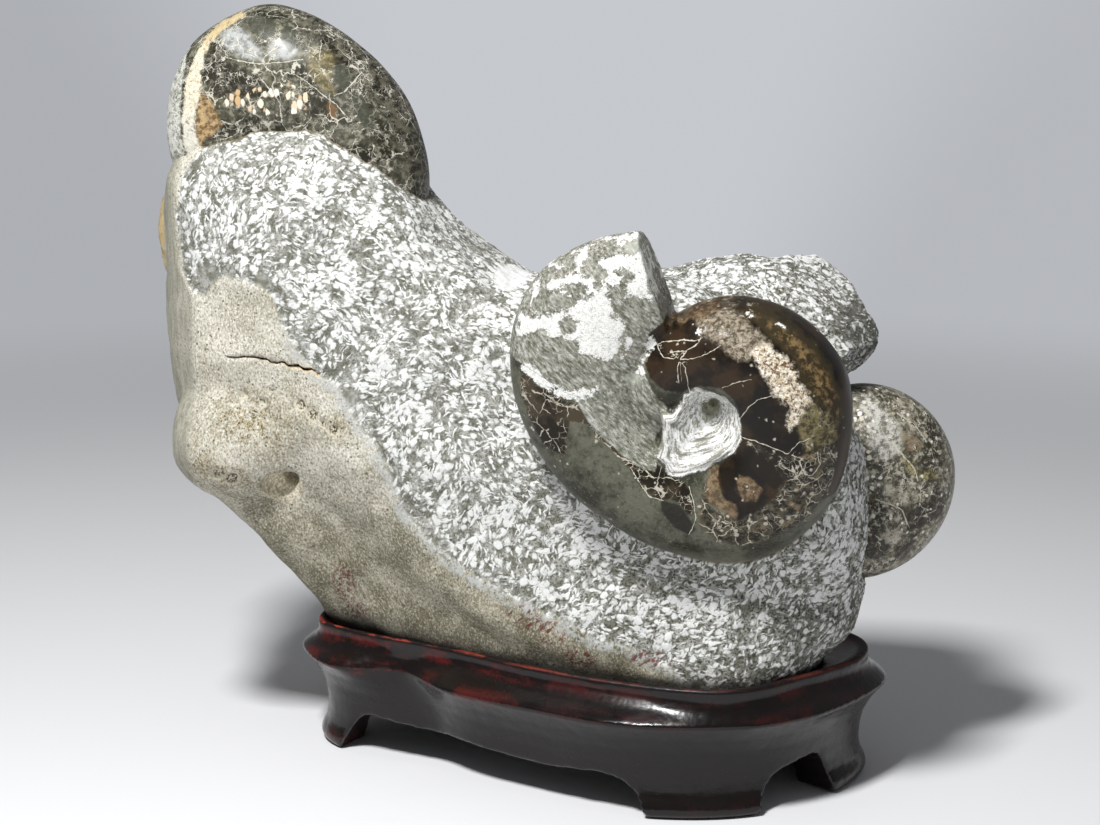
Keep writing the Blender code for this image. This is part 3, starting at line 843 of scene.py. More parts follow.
def chip_level(b, at):
    """How far inside one of the single chips a place lies: 0 outside, 1 in the middle."""
    loose = b.warped(at, 2.4, 0.9, 3.0)
    level = 0.0
    for centre, wide in CHIPS:
        away = b.vector("DISTANCE", loose, [c * MM for c in centre], "Value")
        level = b.most(level, b.step(away, 1.3 * wide * MM, 0.6 * wide * MM))
    return level


def crack_line(b, at):
    """The crack in the rind: how far to either side a place lies, and how wide the crack is there."""
    side = b.math("ABSOLUTE", b.zone("crack side") + b.swing(at, 2.4, 4.0, 0.7, 2.4))
    side = side + b.step(b.zone("crack"), 3.0, 4.5, 0.0, 5.0)
    wide = b.step(b.zone("crack"), 3.4, 2.2) * b.step(b.part_of(at, 0), -111 * MM, -97 * MM, 0.20, 1.0)
    return side, wide * b.step(b.noise(at, 5.0), 0.35, 0.65, 0.22, 0.50)


def build_skin_tree():
    """Build the Geometry Nodes that work the stone's surface: pecks, strokes, pores, crust and crack."""
    tree = bpy.data.node_groups.new("worked stone surface", "GeometryNodeTree")
    tree.interface.new_socket("Geometry", in_out="INPUT", socket_type="NodeSocketGeometry")
    for label, value in (("Chisel Depth", 1.0), ("Grain Depth", 0.28), ("Pore Depth", 1.3),
                         ("Crust Height", 1.6), ("Step Depth", 0.6), ("Crack Depth", 2.2)):
        tree.interface.new_socket(label, in_out="INPUT", socket_type="NodeSocketFloat").default_value = value
    tree.interface.new_socket("Finish", in_out="INPUT", socket_type="NodeSocketMaterial")
    tree.interface.new_socket("Geometry", in_out="OUTPUT", socket_type="NodeSocketGeometry")
    b = Board(tree)
    given = b.node("NodeGroupInput")
    at = b.place()
    worked = b.step(chiselled_edge(b, at), -1.2, 1.2)
    chisel = (chisel_marks(b, at)[2] - 0.75) * given["Chisel Depth"]
    grain = b.swing(at, 2.2, 4.0, 0.7, given["Grain Depth"] * 2.0)
    pore = b.step(b.cells(b.warped(at, 3.0, 0.8), 3.4)["Distance"], 0.36, 0.12) * b.zone("porous")
    pore = pore * b.step(b.noise(at, 6.0), 0.42, 0.56) * given["Pore Depth"]
    crust = (b.noise(at, 4.5, 3.0, 0.6) - 0.42) * b.zone("crust") * (given["Crust Height"] * 2.0)
    rind = grain + crust - pore
    rind = rind - chip_level(b, at) * given["Pore Depth"]
    split, gap = crack_line(b, at)
    rind = rind - b.step(split, gap + 0.35, gap * 0.4) * given["Crack Depth"]
    lift = b.between(worked, rind, chisel - given["Step Depth"])
    offset = b.scaled(b.node("GeometryNodeInputNormal")[0], lift * MM)
    made = b.node("GeometryNodeSetPosition", {"Geometry": given["Geometry"], "Offset": offset})[0]
    made = b.node("GeometryNodeRealizeInstances", {"Geometry": made})[0]
    made = b.node("GeometryNodeSetMaterial", {"Geometry": made, "Material": given["Finish"]})[0]
    b.node("NodeGroupOutput", {"Geometry": made})
    return tree


def thin_stone(stone, front):
    """Thin the stone's mesh, most where it is hidden, little on its rind and least where it is pecked."""
    y = to_stone(points_of(stone))[:, 1]
    weight = np.clip(np.maximum(share(y, 5.0, 30.0), np.clip(-front / 8.0, 0.0, 0.75)), 0.22, 1.0)
    group = stone.vertex_groups.new(name="thin out")
    for level in np.unique(np.round(weight, 1)):
        group.add(np.nonzero(np.round(weight, 1) == level)[0].tolist(), float(level), "REPLACE")
    thin(stone, STONE_TRIANGLES, len(stone.data.polygons), vertex_group=group.name, vertex_group_factor=1.0)
    stone.vertex_groups.clear()


def make_stone(look, shells):
    """Build the stone: rough mass, flat foot, flat breaks, hollow, crack and the worked surface."""
    stone = rough_mass("stone")
    cut_level(stone, ROCK_BASE)
    break_flat(stone)
    open_hollow(stone)
    refine_crack(stone)
    stone_zones(stone, shells)
    work = modify(stone, "NODES", node_group=build_skin_tree())
    finish = next(s for s in work.node_group.interface.items_tree if s.name == "Finish")
    work[finish.identifier] = look
    settle(stone)
    thin_stone(stone, stone_zones(stone, shells))
    shed_flaps(stone)
    stone_zones(stone, shells)
    return stone


# ---- The shells ----
RINGS_PER_TURN, RING_POINTS = 160, 56
ROUNDNESS = 0.88                               # below 1, the tube is a little squarer than an ellipse


def coil(shell):
    """Make the coiled tube of a shell as a bmesh, from its mouth in to its first chamber."""
    mouth, stations = math.radians(shell[3]), np.array(shell[4], float)
    turns = np.arange(0.0, stations[-1, 0] + 1, 360.0 / RINGS_PER_TURN)
    kernel = np.hanning(9)[1:-1]
    kernel /= kernel.sum()
    rows = [np.interp(turns, stations[:, 0], stations[:, k]) for k in (1, 2, 3)]
    rows = [np.convolve(np.pad(row, 3, mode="edge"), kernel, "valid") for row in rows]
    rings = []
    for turn, r_out, r_in, wide in zip(np.radians(turns), *rows):
        spin = mouth + turn
        ring = []
        for side in np.linspace(0.0, 2 * math.pi, RING_POINTS, endpoint=False):
            c, s = (math.copysign(abs(f) ** ROUNDNESS, f) for f in (math.cos(side), math.sin(side)))
            rho = (r_out + r_in) / 2 + (r_out - r_in) / 2 * c
            ring.append((rho * math.cos(spin), rho * math.sin(spin), wide * s))
        rings.append(ring)
    bm = bmesh.new()
    skin(bm, rings)
    add_ellipsoid(bm, (0, 0, 0), (10, 10, 5.5), detail=3)
    bm.transform(shell_frame(shell))
    return bm


def make_shell(name, shell, voxel, rounds):
    """Build a shell as one closed skin, and keep its own coordinates on it."""
    obj = new_object(name, coil(shell))
    remesh(obj, voxel)
    soften(obj, rounds, 0.5)
    settle(obj)
    paint(obj, "rest", to_shell(points_of(obj), shell) * MM)
    return obj


# Patches on the shells as outlines in each shell's own axes, in millimetres, looking at its face.
FRONT_PATCHES = {
    "stone": [pairs(-14, 41, -13, 50, -14, 80, -40, 82, -80, 60, -80, 25, -65.5, 20.9, -61, 20, -55.7, 17.3,
        -50.3, 13.8, -44.7, 10.8, -42.6, 8, -40.6, 4, -37.9, -0.6, -33.4, -5, -27.5, -10.3, -21.2, -14.8,
        -15.9, -16.1, -14.6, -11.2, -16.8, -7.1, -14, -0.8, -11.5, 6.6, -15.9, 11.7, -19.5, 18.3, -20.4,
        25.7, -17.7, 33.2, -12.9, 37.5)],
    "white": [pairs(-36.5, 62.6, -30, 64.3, -31, 63.9, -32.9, 63, -35.6, 62, -38.4, 61.2, -39.4, 58.5,
        -40.6, 56.4, -42.8, 56.2, -43.9, 58.2, -43, 60),
        pairs(-34.9, 57.5, -32.2, 58.9, -28.7, 60, -25.2, 60.2, -21.1, 60, -18.8, 54.5, -17.3, 50.2, -16,
        46.5, -15.5, 45.1, -15.6, 45.3, -18.1, 45.8, -22.2, 46.1, -25.6, 46.1, -27, 44.6, -26.3, 48.1,
        -24.9, 50.9, -22.9, 53.6, -23.6, 55.6, -27.8, 55.1, -31.2, 54.6, -33.7, 55.1),
        pairs(-53.8, 48.7, -52, 50.2, -48.3, 51.7, -45.5, 53.5, -42.6, 53.2, -41.1, 52.1, -37.5, 53, -34.7,
        52.2, -35.3, 50.5, -38.1, 49.7, -42.4, 50.1, -46.7, 48.7, -50.3, 47.4, -52.9, 47),
        pairs(-41.6, 44.8, -38.1, 46, -34.6, 46.5, -31.8, 45.2, -30.1, 42.4, -30.5, 40.3, -28.5, 38.5,
        -27.1, 36, -27.6, 31.6, -28.4, 27.8, -29.4, 25.7, -32.2, 23.6, -36.2, 24.1, -38.3, 25.2, -41, 25.9,
        -42.4, 28.4, -43.1, 30.5, -46.6, 31.1, -46.9, 32.1, -43.4, 33, -42.3, 35.8, -44.4, 38.5, -46.5,
        40.1, -45.1, 42.9),
        pairs(-64.1, 36.4, -59.8, 36.5, -55.2, 38.6, -51.6, 40.4, -48, 41.4, -45.1, 40.2, -48, 36.9, -48.7,
        33.1, -51.5, 31.8, -54.8, 32.6, -56.7, 33.3, -60.5, 30.6, -62.9, 28.4, -64.6, 29.5, -65.6, 32.3),
        pairs(-62.1, 21.2, -59.4, 20.3, -56.8, 18.6, -53.9, 16.8, -51, 14.9, -48.2, 13.6, -44.7, 12.6,
        -41.9, 13.8, -38.4, 14.1, -35.7, 15.1, -35, 12.9, -37.8, 11.2, -41.2, 10.2, -43.7, 8.7, -46.8, 9.7,
        -50.4, 10.5, -54, 12.4, -57.6, 14.5, -60.6, 16.8, -63, 18.8),
        pairs(-17.8, 31.2, -19.7, 27.2, -21.6, 22.6, -22.3, 18.3, -20.3, 19, -19.7, 22.9, -18, 26.4, -16.2,
        29.8),
        pairs(-25.2, 30.7, -23.9, 30.7, -25.1, 24.6, -27.5, 24)],
    "pale": [pairs(-27.9, 64.4, -22.3, 64.6, -18.4, 53.5, -20, 58, -24.6, 60.2, -26.9, 62),
        pairs(-27.3, 17.2, -21.5, 17.9, -21.4, 13.9, -25.1, 13.5)],
    "pit": [pairs(-13.6, 5.2, -9.8, 5.3, -6.9, 9.4, -5.5, 12.8, -0.8, 16.1, 5.1, 14.6, 9.5, 12.9, 12.8, 9.5,
        14.2, 4.2, 14.6, -2.2, 12.1, -7.2, 7.5, -10.8, 4, -12.7, 1.3, -14.6, -2.9, -16.1, -7.8, -17.5,
        -11.4, -16.7, -12.7, -13.4, -15.6, -11.2, -14, -6.8, -13.2, -0.1)],
    "brown": [pairs(-17.7, 33.2, -12.9, 37.5, -6.1, 36.9, 0, 60, 40, 60, 70, 20, 70, -30, 41.4, -24.7, 30,
        -34, 20, -36, 12, -30, 5, -16, 14.6, 1.4, 12.4, 13.1, 7.3, 17.1, 0.2, 17, -6.9, 13.8, -12.2, 14.1,
        -17.6, 17.7, -20.5, 24.5)],
    "strip": [pairs(-63.8, 18.6, -59.9, 15.9, -53.3, 11.7, -46.9, 8.6, -42.6, 8, -38.5, 3.7, -35.1, 0.7,
        -40.3, 0.8, -44.9, 2.1, -47.2, -5.5, -47.4, -11.3, -51.1, -10.8, -55.3, -9, -58.9, -3.9, -61.7, 2.5,
        -64.1, 10.2),
        pairs(-39.2, 0.8, -33.4, -0.7, -27.6, -3.6, -23.3, -5.8, -19.8, -9.3, -16.1, -12.4, -12.4, -16.1,
        -7.1, -18.4, -3.4, -21.4, -1.6, -26.5, -3.3, -30.3, -8.6, -25.2, -15.7, -25.7, -19.3, -22.3, -24.6,
        -15.5, -30.9, -8.5, -36.5, -3.2)],
    "smooth": [pairs(-13.9, -25.5, -6.9, -26.8, -3.4, -32.2, -1.7, -36, -3.5, -38.3, -8.8, -35.8, -13.3,
        -30),
        pairs(6.9, -14.2, 12.3, -13.1, 13.5, -19.8, 14.9, -24, 10, -22.7, 7.5, -18.8),
        pairs(19.4, -5.3, 25.3, -4.5, 31.5, -7.9, 34.9, -6.5, 39.9, -8.6, 38.9, -13.4, 34.9, -11.8, 29.8,
        -14.8, 26.4, -18.7, 21.2, -14.5, 17.6, -10.3)],
    "mottled": [pairs(-1.8, 38.1, 3.4, 39.7, 6.4, 41.2, 11, 41.1, 16.1, 38.4, 20.4, 35.6, 24, 32.8, 20.8,
        30.4, 16.9, 27.9, 13.5, 27.1, 10, 29.5, 7.9, 31.6, 4.3, 33.5, 0, 34.4)],
    "tan": [pairs(19.7, 32.4, 24, 32.2, 26.9, 29.2, 30.2, 28, 32.7, 24.2, 34.5, 19.3, 37.2, 16.8, 38.6,
        13.3, 35.7, 10.9, 33.8, 5.7, 31.4, 3.9, 30.1, 6.8, 31.3, 13.2, 27.9, 14.6, 25.2, 17.3, 23.8, 20.7,
        21.7, 24.1, 20, 27.3, 17.5, 29.2)],
    "gold": [pairs(-12.9, 35.8, -11.3, 34.7, -5.3, 38, 0, 40.1, 4.7, 41.2, 6.6, 40.8, 2, 39.3, -0.6, 37.9,
        -4.4, 37.5, -7.7, 35.3),
        pairs(3, -13.1, 6.1, -13.1, 6.7, -18, 7.9, -23.2, 12.5, -25.3, 13.9, -29, 12.5, -31.1, 8.6, -27.5,
        3.7, -26.1, 2.3, -23.4, 2.8, -18.4),
        pairs(13.4, -14.2, 18.4, -14.9, 21.9, -18.9, 20.5, -22.8, 16, -23.9, 12.8, -19.9)],
    "outer band": [pairs(10.6, 41.6, 17.4, 40.9, 24.1, 39.1, 31.3, 35.6, 38.4, 29.6, 44.5, 21.4, 48.4, 12.1,
        49.6, 3.8, 47.2, 3.4, 43.9, 7.8, 38.6, 13.3, 37.2, 17.4, 34.4, 20.9, 32.9, 25.6, 30.1, 28.9, 26,
        32.1, 22, 35.7, 16.6, 39.2)],
    "olive": [pairs(35.7, 10.9, 38.6, 13.3, 43.9, 7.8, 47.2, 3.4, 46.6, -2.2, 42.1, -4.4, 37.5, -4.4, 34.8,
        0.2, 33.8, 5.7)],
    "busy": [pairs(14.6, -2.2, 21.1, -3.2, 28.1, -6.6, 34.9, -5.4, 42.1, -4.4, 46.6, -2.2, 46, -13.8, 43,
        -23.2, 38, -30.4, 31.2, -35.8, 22.7, -39.4, 14, -41.4, 5.3, -39.6, 0.2, -33.9, 0.2, -24.6, 2.1,
        -17.8, 4.4, -27.1, 12.5, -31.8, 21.2, -27.4, 26.4, -21.8, 29.8, -14.8, 26.4, -8.1, 19.4, -4.6)],
}
FRONT_THREADS = (
    pairs(-15.5, 28.5, -14.1, 26.6, -12.5, 25.8, -6.7, 25.9, -3.1, 26.7, 0.4, 27.7, 3.8, 29.7, 6.5, 31.5),
    pairs(-14.1, 29.3, -10.7, 30.8, -5.6, 32.2, 0.1, 33, -1.5, 31, -5, 29, -8.9, 28),
    pairs(-9.3, 27.4, -6.7, 25.9, -4.9, 23.3, -4.2, 18.9, -3.7, 15.3),
    pairs(-3.9, 29.5, -6.7, 25.9, -7.7, 22.2, -7.4, 18.6),
    pairs(9, 17.8, 12.5, 19.7, 17, 21.1),
    pairs(13.9, 5.9, 17.7, 11.6, 20.1, 14.2, 23.9, 15.5),
    pairs(14.6, -1.2, 19.4, -1.3, 22.9, -2.2, 27.4, -3.6, 31.5, -5.3, 34.9, -6.5),
    pairs(31.5, -4.2, 33.8, -1.3, 36.8, 0.1),
    pairs(34.9, -8, 36.2, -12.7, 38.9, -13.8, 41.5, -9.7, 40.8, -6.1),
    pairs(-3.4, -21.4, -1.9, -26.5, -1.2, -32, -3.4, -37),
    pairs(-28.2, -11, -24, -12.8, -20.5, -14.8, -16.9, -17.4),
    pairs(-23.9, -15.5, -21, -20.2, -17.5, -24.7, -13.9, -25.5),
)
PIT_FLOOR = (4.0, 8.0, 8.5)                    # the pit's deepest place, in the front shell's own axes
PIT_RIM, PIT_RINGS = 19.5, 6.0                 # the height of its rim, and the number of its steps
TOP_PATCHES = {
    "rim": [pairs(-16.7, 50.8, -22.1, 47.8, -26.6, 44, -29, 40.2, -31.2, 35.7, -32.8, 31.2, -34.2, 26.3,
        -35.3, 20.7, -36.1, 15.1, -36.6, 8.4, -35.9, 2.8, -34.9, -3.9, -31.5, -5.7, -29.6, -1.9, -30.2, 2.9,
        -30.9, 8.5, -29.9, 14.1, -28.6, 19.7, -28.8, 25.2, -28.7, 30.8, -27.5, 35.7, -25, 39.4, -21.6, 43.9,
        -16.7, 46.9, -13.3, 49.6)],
    "flank": [pairs(-80, 60, -38, 60, -36, 40, -36.5, 28, -37.5, 14, -37, 2, -37, -40, -80, -40)],
    "tan": [pairs(-28.6, 20.8, -24.5, 17.9, -22.2, 13.4, -20, 8.6, -23.3, 4.9, -27.3, 3, -29.5, -0.8, -31.9,
        -4.6, -32.5, -0.1, -30.4, 8.5, -29.9, 16)],
    # Pale milky shell, partly a painted sheen of the light on the polish.
    "milky": [pairs(-21.6, 43.9, -14, 45, -8.3, 40.2, -4, 35.8, -3.9, 32.8, -10.6, 33.5, -17.7, 36.4, -21,
        39.4),
        pairs(-1.9, 38, 3.2, 39.5, 8.7, 36.6, 8.2, 33.7, 3, 32.9, -1.6, 34.3)],
    "dark": [pairs(-28.3, 31.9, -22.8, 32.7, -15.7, 31.3, -8.5, 28.4, -3.8, 25.5, -3.9, 21, -6.7, 18.8,
        -14.6, 18.7, -22.5, 19.7, -26.1, 22.3),
        pairs(10.8, 21.9, 16.4, 22.7, 20.2, 19.8, 22.9, 16.6, 21.5, 13.2, 17.7, 11, 11.9, 13.1)],
    "smooth": [pairs(23.1, 30.9, 26, 31.7, 28.5, 28, 28.9, 24.3, 26.3, 22.5, 23.2, 25.7),
        pairs(2.2, 44, 4.4, 45.9, 7.7, 43.3, 8.8, 38.8, 6.5, 35.8, 3.3, 38.8),
        pairs(-12.8, 48.4, -6.2, 49.5, -0.2, 46.9, 0, 41.7, -4.4, 40.2, -9.6, 43.9),
        pairs(29.9, 21.4, 33.4, 20, 37.3, 14.2, 39, 8.3, 36.3, 6.1, 32.6, 11.9, 30.5, 17)],
    "flecks": [pairs(-26.5, 19.7, -18.5, 20.9, -3.9, 22.5, 7, 24.1, 14.6, 21.2, 15.4, 15.4, 10.7, 13.1, 2.8,
        12.3, -9.1, 11.4, -17.5, 13.1, -24.5, 16)],
    "yellow": [pairs(13.7, 36.7, 20.4, 37.5, 23.5, 35, 22.9, 32.4, 21.5, 28.7, 22.6, 23.9, 23.9, 20.2, 19,
        22.8, 15.2, 26.4, 13.2, 30)],
    "brown": [pairs(21.4, 18.4, 24.8, 15.9, 24.5, 11.8, 21.1, 11.8)],
    "venter": [pairs(17, 60, 60, 60, 70, -40, 49, -30, 49.8, -3.5, 45.2, 7.6, 37.9, 18.6, 28.3, 29.5, 16.9,
        38.6, 8, 47)],
}
TOP_THREADS = (
    pairs(-17.5, 33.5, -10.6, 32, -3.9, 31.3, 4.9, 32.1, 10.4, 32.9),
    pairs(-3.8, 25.5, -0.7, 21.8, 2.3, 18.2),
    pairs(12.3, 25.6, 16.4, 22.7, 20.2, 19.8, 24.4, 16.9, 27.1, 14),
    pairs(23.9, 20.2, 27.4, 21.7, 29.6, 24.3, 31.9, 27.7),
)
RIGHT_PATCHES = {
    "light": [pairs(-4.7, 33.5, 0.4, 34.8, 4.5, 30.4, 9.4, 23.5, 10, 16.3, 3.5, 12.8, -2.4, 16.8)],
    "yellow": [pairs(9.2, 15.6, 14, 11.6, 17.3, 8.4, 21.5, 8.7, 26.1, 4.3, 19.5, 4.4, 15.4, 5.5, 11.3,
        9.5)],
    "brown": [pairs(9.3, 21.7, 15.5, 21.2, 18.2, 17.4, 16.4, 14, 11.2, 15.5)],
    "dark": [pairs(12, -4.7, 20, -3.4, 29.4, -5, 28.9, -11.1, 21, -13.5, 14.8, -14.8, 11.5, -9.7),
        pairs(9.3, -20.4, 17.6, -19.3, 15.6, -28.3, 9.3, -25.2),
        pairs(-2, -16, 8, -18, 6, -26, -4, -24)],
    "patch": [pairs(4.7, -14.8, 10.7, -14.4, 12.2, -17.8, 9.3, -20.4, 5.5, -18.8)],
}
RIGHT_THREADS = (
    pairs(7.2, 18.3, 11.2, 13.3, 14.9, 9.3, 16.2, 5.4),
    pairs(1.9, -2.7, 6.3, -4.1, 10.9, -6.6, 13.7, -12.6),
    pairs(10.2, 28.4, 15.9, 24.6, 19.7, 19),
)


def thread_sides(points, paths):
    """Return how far 2-D points lie to one side of the nearest thread, and how far away it is."""
    side, away = np.zeros(len(points)), np.full(len(points), 1e9)
    for path in paths:
        for a, b in zip(np.array(path[:-1], float), np.array(path[1:], float)):
            ab, gap, near = b - a, points - a, to_segment(points, a, b)
            cross = (ab[0] * gap[:, 1] - ab[1] * gap[:, 0]) / np.linalg.norm(ab)
            closer = near < away
            side, away = np.where(closer, cross, side), np.where(closer, near, away)
    return side, away


def paint_patches(obj, patches, threads):
    """Paint each kind of patch as a distance in millimetres, above zero inside its outlines."""
    rest = rest_of(obj)
    for name, outlines in patches.items():
        sides = [outline_distance(rest[:, :2], outline) for outline in outlines]
        paint(obj, name, np.clip(np.maximum.reduce(sides), -12.0, 12.0))
    side, away = thread_sides(rest[:, :2], threads)
    paint(obj, "thread side", np.clip(side, -4.0, 4.0))
    paint(obj, "thread", np.clip(away + 50.0 * (rest[:, 2] < 0.0), 0.0, 12.0))
    paint(obj, "face height", rest[:, 2])
    paint(obj, "pale side", share(rest[:, 0], 4.0, -8.0) * share(rest[:, 1], -34.0, -22.0))


def carve_pit(obj):
    """Open the navel of the front shell as a stepped cone, and number its rings."""
    rest = rest_of(obj)
    rim = outline_distance(rest[:, :2], FRONT_PATCHES["pit"][0])
    apex = np.linalg.norm(rest[:, :2] - np.array(PIT_FLOOR[:2]), axis=1)
    inward = np.clip(rim / np.maximum(rim + apex, 1e-6), 0.0, 1.0)     # 0 at the rim, 1 at the floor
    front = (rest[:, 2] > 0.0) & (rim > -1.0)
    steps = inward + 0.030 * np.sin(inward * 2 * math.pi * PIT_RINGS)
    level = PIT_RIM + (PIT_FLOOR[2] - PIT_RIM) * np.clip(steps, 0.0, 1.0) ** 0.9
    rest[:, 2] += (level - rest[:, 2]) * share(rim, -1.0, 1.5) * front
    place = np.array(shell_frame(FRONT_SHELL))
    move_points(obj, (rest @ place[:3, :3].T + place[:3, 3]) * MM)
    paint(obj, "rest", rest * MM)
    spin = np.arctan2(rest[:, 1] - PIT_FLOOR[1], rest[:, 0] - PIT_FLOOR[0])
    rings = (1.0 - inward) * 16.0 + spin * 0.4, np.cos(spin) * 9.0, np.sin(spin) * 9.0
    paint(obj, "pit rings", np.stack(rings, axis=1) * MM)


# ---- The stand ----
STAND_TRIANGLES = 150000
STAND_VOXEL = 0.8
RAYS, CALM = 480, 49                           # points round the stand, and how many of them are averaged


def arch_cutter(outline, along, start, stop, lean=0.0):
    """Make a prism with an arch's outline, running through one side wall of the stand."""
    bm = bmesh.new()
    outline = smooth_open(outline, 40)
    skin(bm, [[(u + slide, depth, z) if along == "X" else (depth, u + slide, z) for u, z in outline]
              for depth, slide in ((start, lean), (stop, 0.0))])
    return new_object("arch", bm)


def make_stand():
    """Loft the carved side finely, hollow it, open the arches, sink the stone's recess and round it all."""
    angles = np.linspace(-math.pi, math.pi, RAYS, endpoint=False)
    rim, ridge = reach(RIM_OUTLINE, angles), reach(RIDGE_OUTLINE, angles)
    kernel = np.hanning(CALM)[1:-1]
    calm = np.convolve(np.pad(ridge, CALM // 2 - 1, mode="wrap"), kernel / kernel.sum(), "valid")
    rays = np.stack([np.cos(angles), np.sin(angles)], axis=1)

    def ring(height, share_out, outset, calmed=0.0):
        side = ridge + calmed * (calm - ridge)
        plan = np.array(STAND_MIDDLE) + rays * (rim + share_out * (side - rim) + outset)[:, None]
        return [(x, y, height) for x, y in plan]

    bm = bmesh.new()
    skin(bm, [ring(*level) for level in SIDE_PROFILE])
    stand = new_object("lacquered_stand", bm)
    bm = bmesh.new()
    skin(bm, [ring(-5.0, 1.0, -HOLLOW_INSET), ring(HOLLOW_TOP - 6, 1.0, -HOLLOW_INSET - 1),
              ring(HOLLOW_TOP, 1.0, -HOLLOW_INSET - 7)])
    foot = rough_mass("foot of the stone", swell=GAP)
    cut_level(foot, RECESS_FLOOR)
    cutters = [new_object("hollow", bm), arch_cutter(FRONT_ARCH, "X", -95.0, 5.0),
               arch_cutter(BACK_ARCH, "X", 5.0, 95.0), arch_cutter(RIGHT_ARCH, "Y", 85.0, 122.0, 10.0),
               arch_cutter(LEFT_ARCH, "Y", -130.0, 10.0), foot]
    for cutter in cutters:
        cut_away(stand, cutter)
    remesh(stand, STAND_VOXEL)
    soften(stand, 9, 0.5)
    settle(stand)
    thin(stand, STAND_TRIANGLES, 2 * len(stand.data.polygons))
    drop(*cutters)
    points = points_of(stand)
    x, y, z = (points / MM).T
    x, y = x - STAND_MIDDLE[0], y - STAND_MIDDLE[1]
    paint(stand, "rest", points)
    paint(stand, "height", z)
    paint(stand, "beyond rim", np.clip(np.hypot(x, y) - reach(RIM_OUTLINE, np.arctan2(y, x)), -30.0, 30.0))
    return stand


# ---- Effects shared by materials ----
def stone_grain(b, given):
    """Fine grain of stone: a light and dark speckle, with the height that goes with it."""
    at = b.scaled(given["Vector"], b.math("DIVIDE", 1.0, given["Size"]))
    fine, coarse = b.noise(at, 0.55, 3.0, 0.75), b.noise(at, 1.6, 4.0, 0.7)
    dots = b.cells(at, 1.9)
    pits = b.step(dots["Distance"], 0.26, 0.14) * b.step(b.part_of(dots["Color"], 1), 0.62, 0.70)
    return {"Speckle": fine * 0.5 + coarse * 0.5, "Cloud": b.noise(at, 14.0, 4.0, 0.6),
            "Pits": pits, "Height": fine * 0.4 + coarse * 0.6 - pits}


def shell_crazing(b, given):
    """A net of mineral veins in a shell, broken here and there, with the plates between them."""
    at = given["Vector"]
    bent = b.pushed(at, 7.0, 4.0, 0.6, given["Wander"] * (2.0 * MM))
    scale = b.math("DIVIDE", 1.0 / MM, given["Size"])
    nets = []
    for finer, gate in ((1.0, 0.0), (2.3, 0.06)):
        edge = b.node("ShaderNodeTexVoronoi", {"Vector": bent, "Scale": scale * finer},
                      feature="DISTANCE_TO_EDGE")["Distance"]
        wide = given["Width"] * b.step(b.noise(at, 3.0), 0.3, 0.7, 0.4, 1.5)
        line = 1.0 - b.step(edge, wide * 0.35, wide)
        gaps = b.noise(b.vector("ADD", at, (gate, 0.3, gate)), 9.0, 3.0, 0.6)
        nets.append(line * b.step(gaps, given["Broken"] + (gate - 0.05), given["Broken"] + (gate + 0.05)))
    plate = b.node("ShaderNodeTexVoronoi", {"Vector": bent, "Scale": scale})["Color"]
    return {"Lines": b.most(*nets), "Plate": b.part_of(plate, 0), "Tone": b.noise(bent, 16.0, 5.0, 0.62)}


def torn_edge(b, given):
    """The raggedness that every painted patch of a shell shares, from -1 to 1."""
    at = b.scaled(given["Vector"], b.math("DIVIDE", 3.0, given["Size"]))
    return {"Jag": b.swing(at, 3.0, 5.0, 0.68, 2.0)}


def scattered_flecks(b, given):
    """Loose flecks of pale mineral, more of them the larger the amount, each with its own tone."""
    at = b.scaled(given["Vector"], b.math("DIVIDE", 1.0, given["Size"]))
    flecks = b.cells(b.warped(at, 0.55, 0.24, 2.0), 1.0)
    size = b.step(b.part_of(flecks["Color"], 0), 0.3, 1.0, -0.25, 0.30) + given["Amount"]
    return {"Mask": b.step(size - flecks["Distance"], -0.06, 0.14), "Tone": b.part_of(flecks["Color"], 1)}


def mineral_thread(b, given):
    """A thin mineral thread drawn along the painted paths."""
    shake = b.swing(given["Vector"], 2.2, 3.0, 0.6, 1.3)
    width = given["Width"] * b.step(b.noise(given["Vector"], 1.6), 0.35, 0.65, 0.5, 1.4)
    line = b.step(b.math("ABSOLUTE", given["Side"] + shake), width, width * 0.5)
    return {"Mask": line * b.step(given["Away"], 1.5, 1.0)}


def build_effect(build, **numbers):
    """Build a shader node group: a vector and named numbers go in, and what build returns comes out."""
    tree = bpy.data.node_groups.new(build.__name__.replace("_", " "), "ShaderNodeTree")
    tree.interface.new_socket("Vector", in_out="INPUT", socket_type="NodeSocketVector")
    for label, value in numbers.items():
        tree.interface.new_socket(label, in_out="INPUT", socket_type="NodeSocketFloat").default_value = value
    b = Board(tree)
    gives = build(b, b.node("NodeGroupInput"))
    for label in gives:
        tree.interface.new_socket(label, in_out="OUTPUT", socket_type="NodeSocketFloat")
    b.node("NodeGroupOutput", gives)


build_effect(stone_grain, Size=1.0)
build_effect(shell_crazing, Size=9.0, Width=0.05, Wander=2.5, Broken=0.45)
build_effect(torn_edge, Size=3.0)
build_effect(scattered_flecks, Size=2.4, Amount=0.0)
build_effect(mineral_thread, Side=9.0, Away=9.0, Width=0.22)


# ---- Materials ----
class Coat:
    """A colour that is built up layer by layer on a board."""

    def __init__(self, b, colour):
        self.b, self.colour = b, colour

    def lay(self, mask, colour, strength=None):
        """Lay a colour over what is there, where the mask is above 0."""
        mask = mask if strength is None else mask * strength
        self.colour = self.b.blend(mask, self.colour, colour)


def use(b, effect, **values):
    """Place an effect in a material with its own values."""
    return b.node("ShaderNodeGroup", {key.capitalize(): value for key, value in values.items()},
                  node_tree=bpy.data.node_groups[effect])


def torn_patches(b, at):
    """Return a reader of painted patches: 1 inside, 0 outside, with an edge that wanders."""
    jag = use(b, "torn edge", vector=at)["Jag"]
    return lambda zone, wander, soft: b.step(b.zone(zone) + jag * wander, -soft, soft)


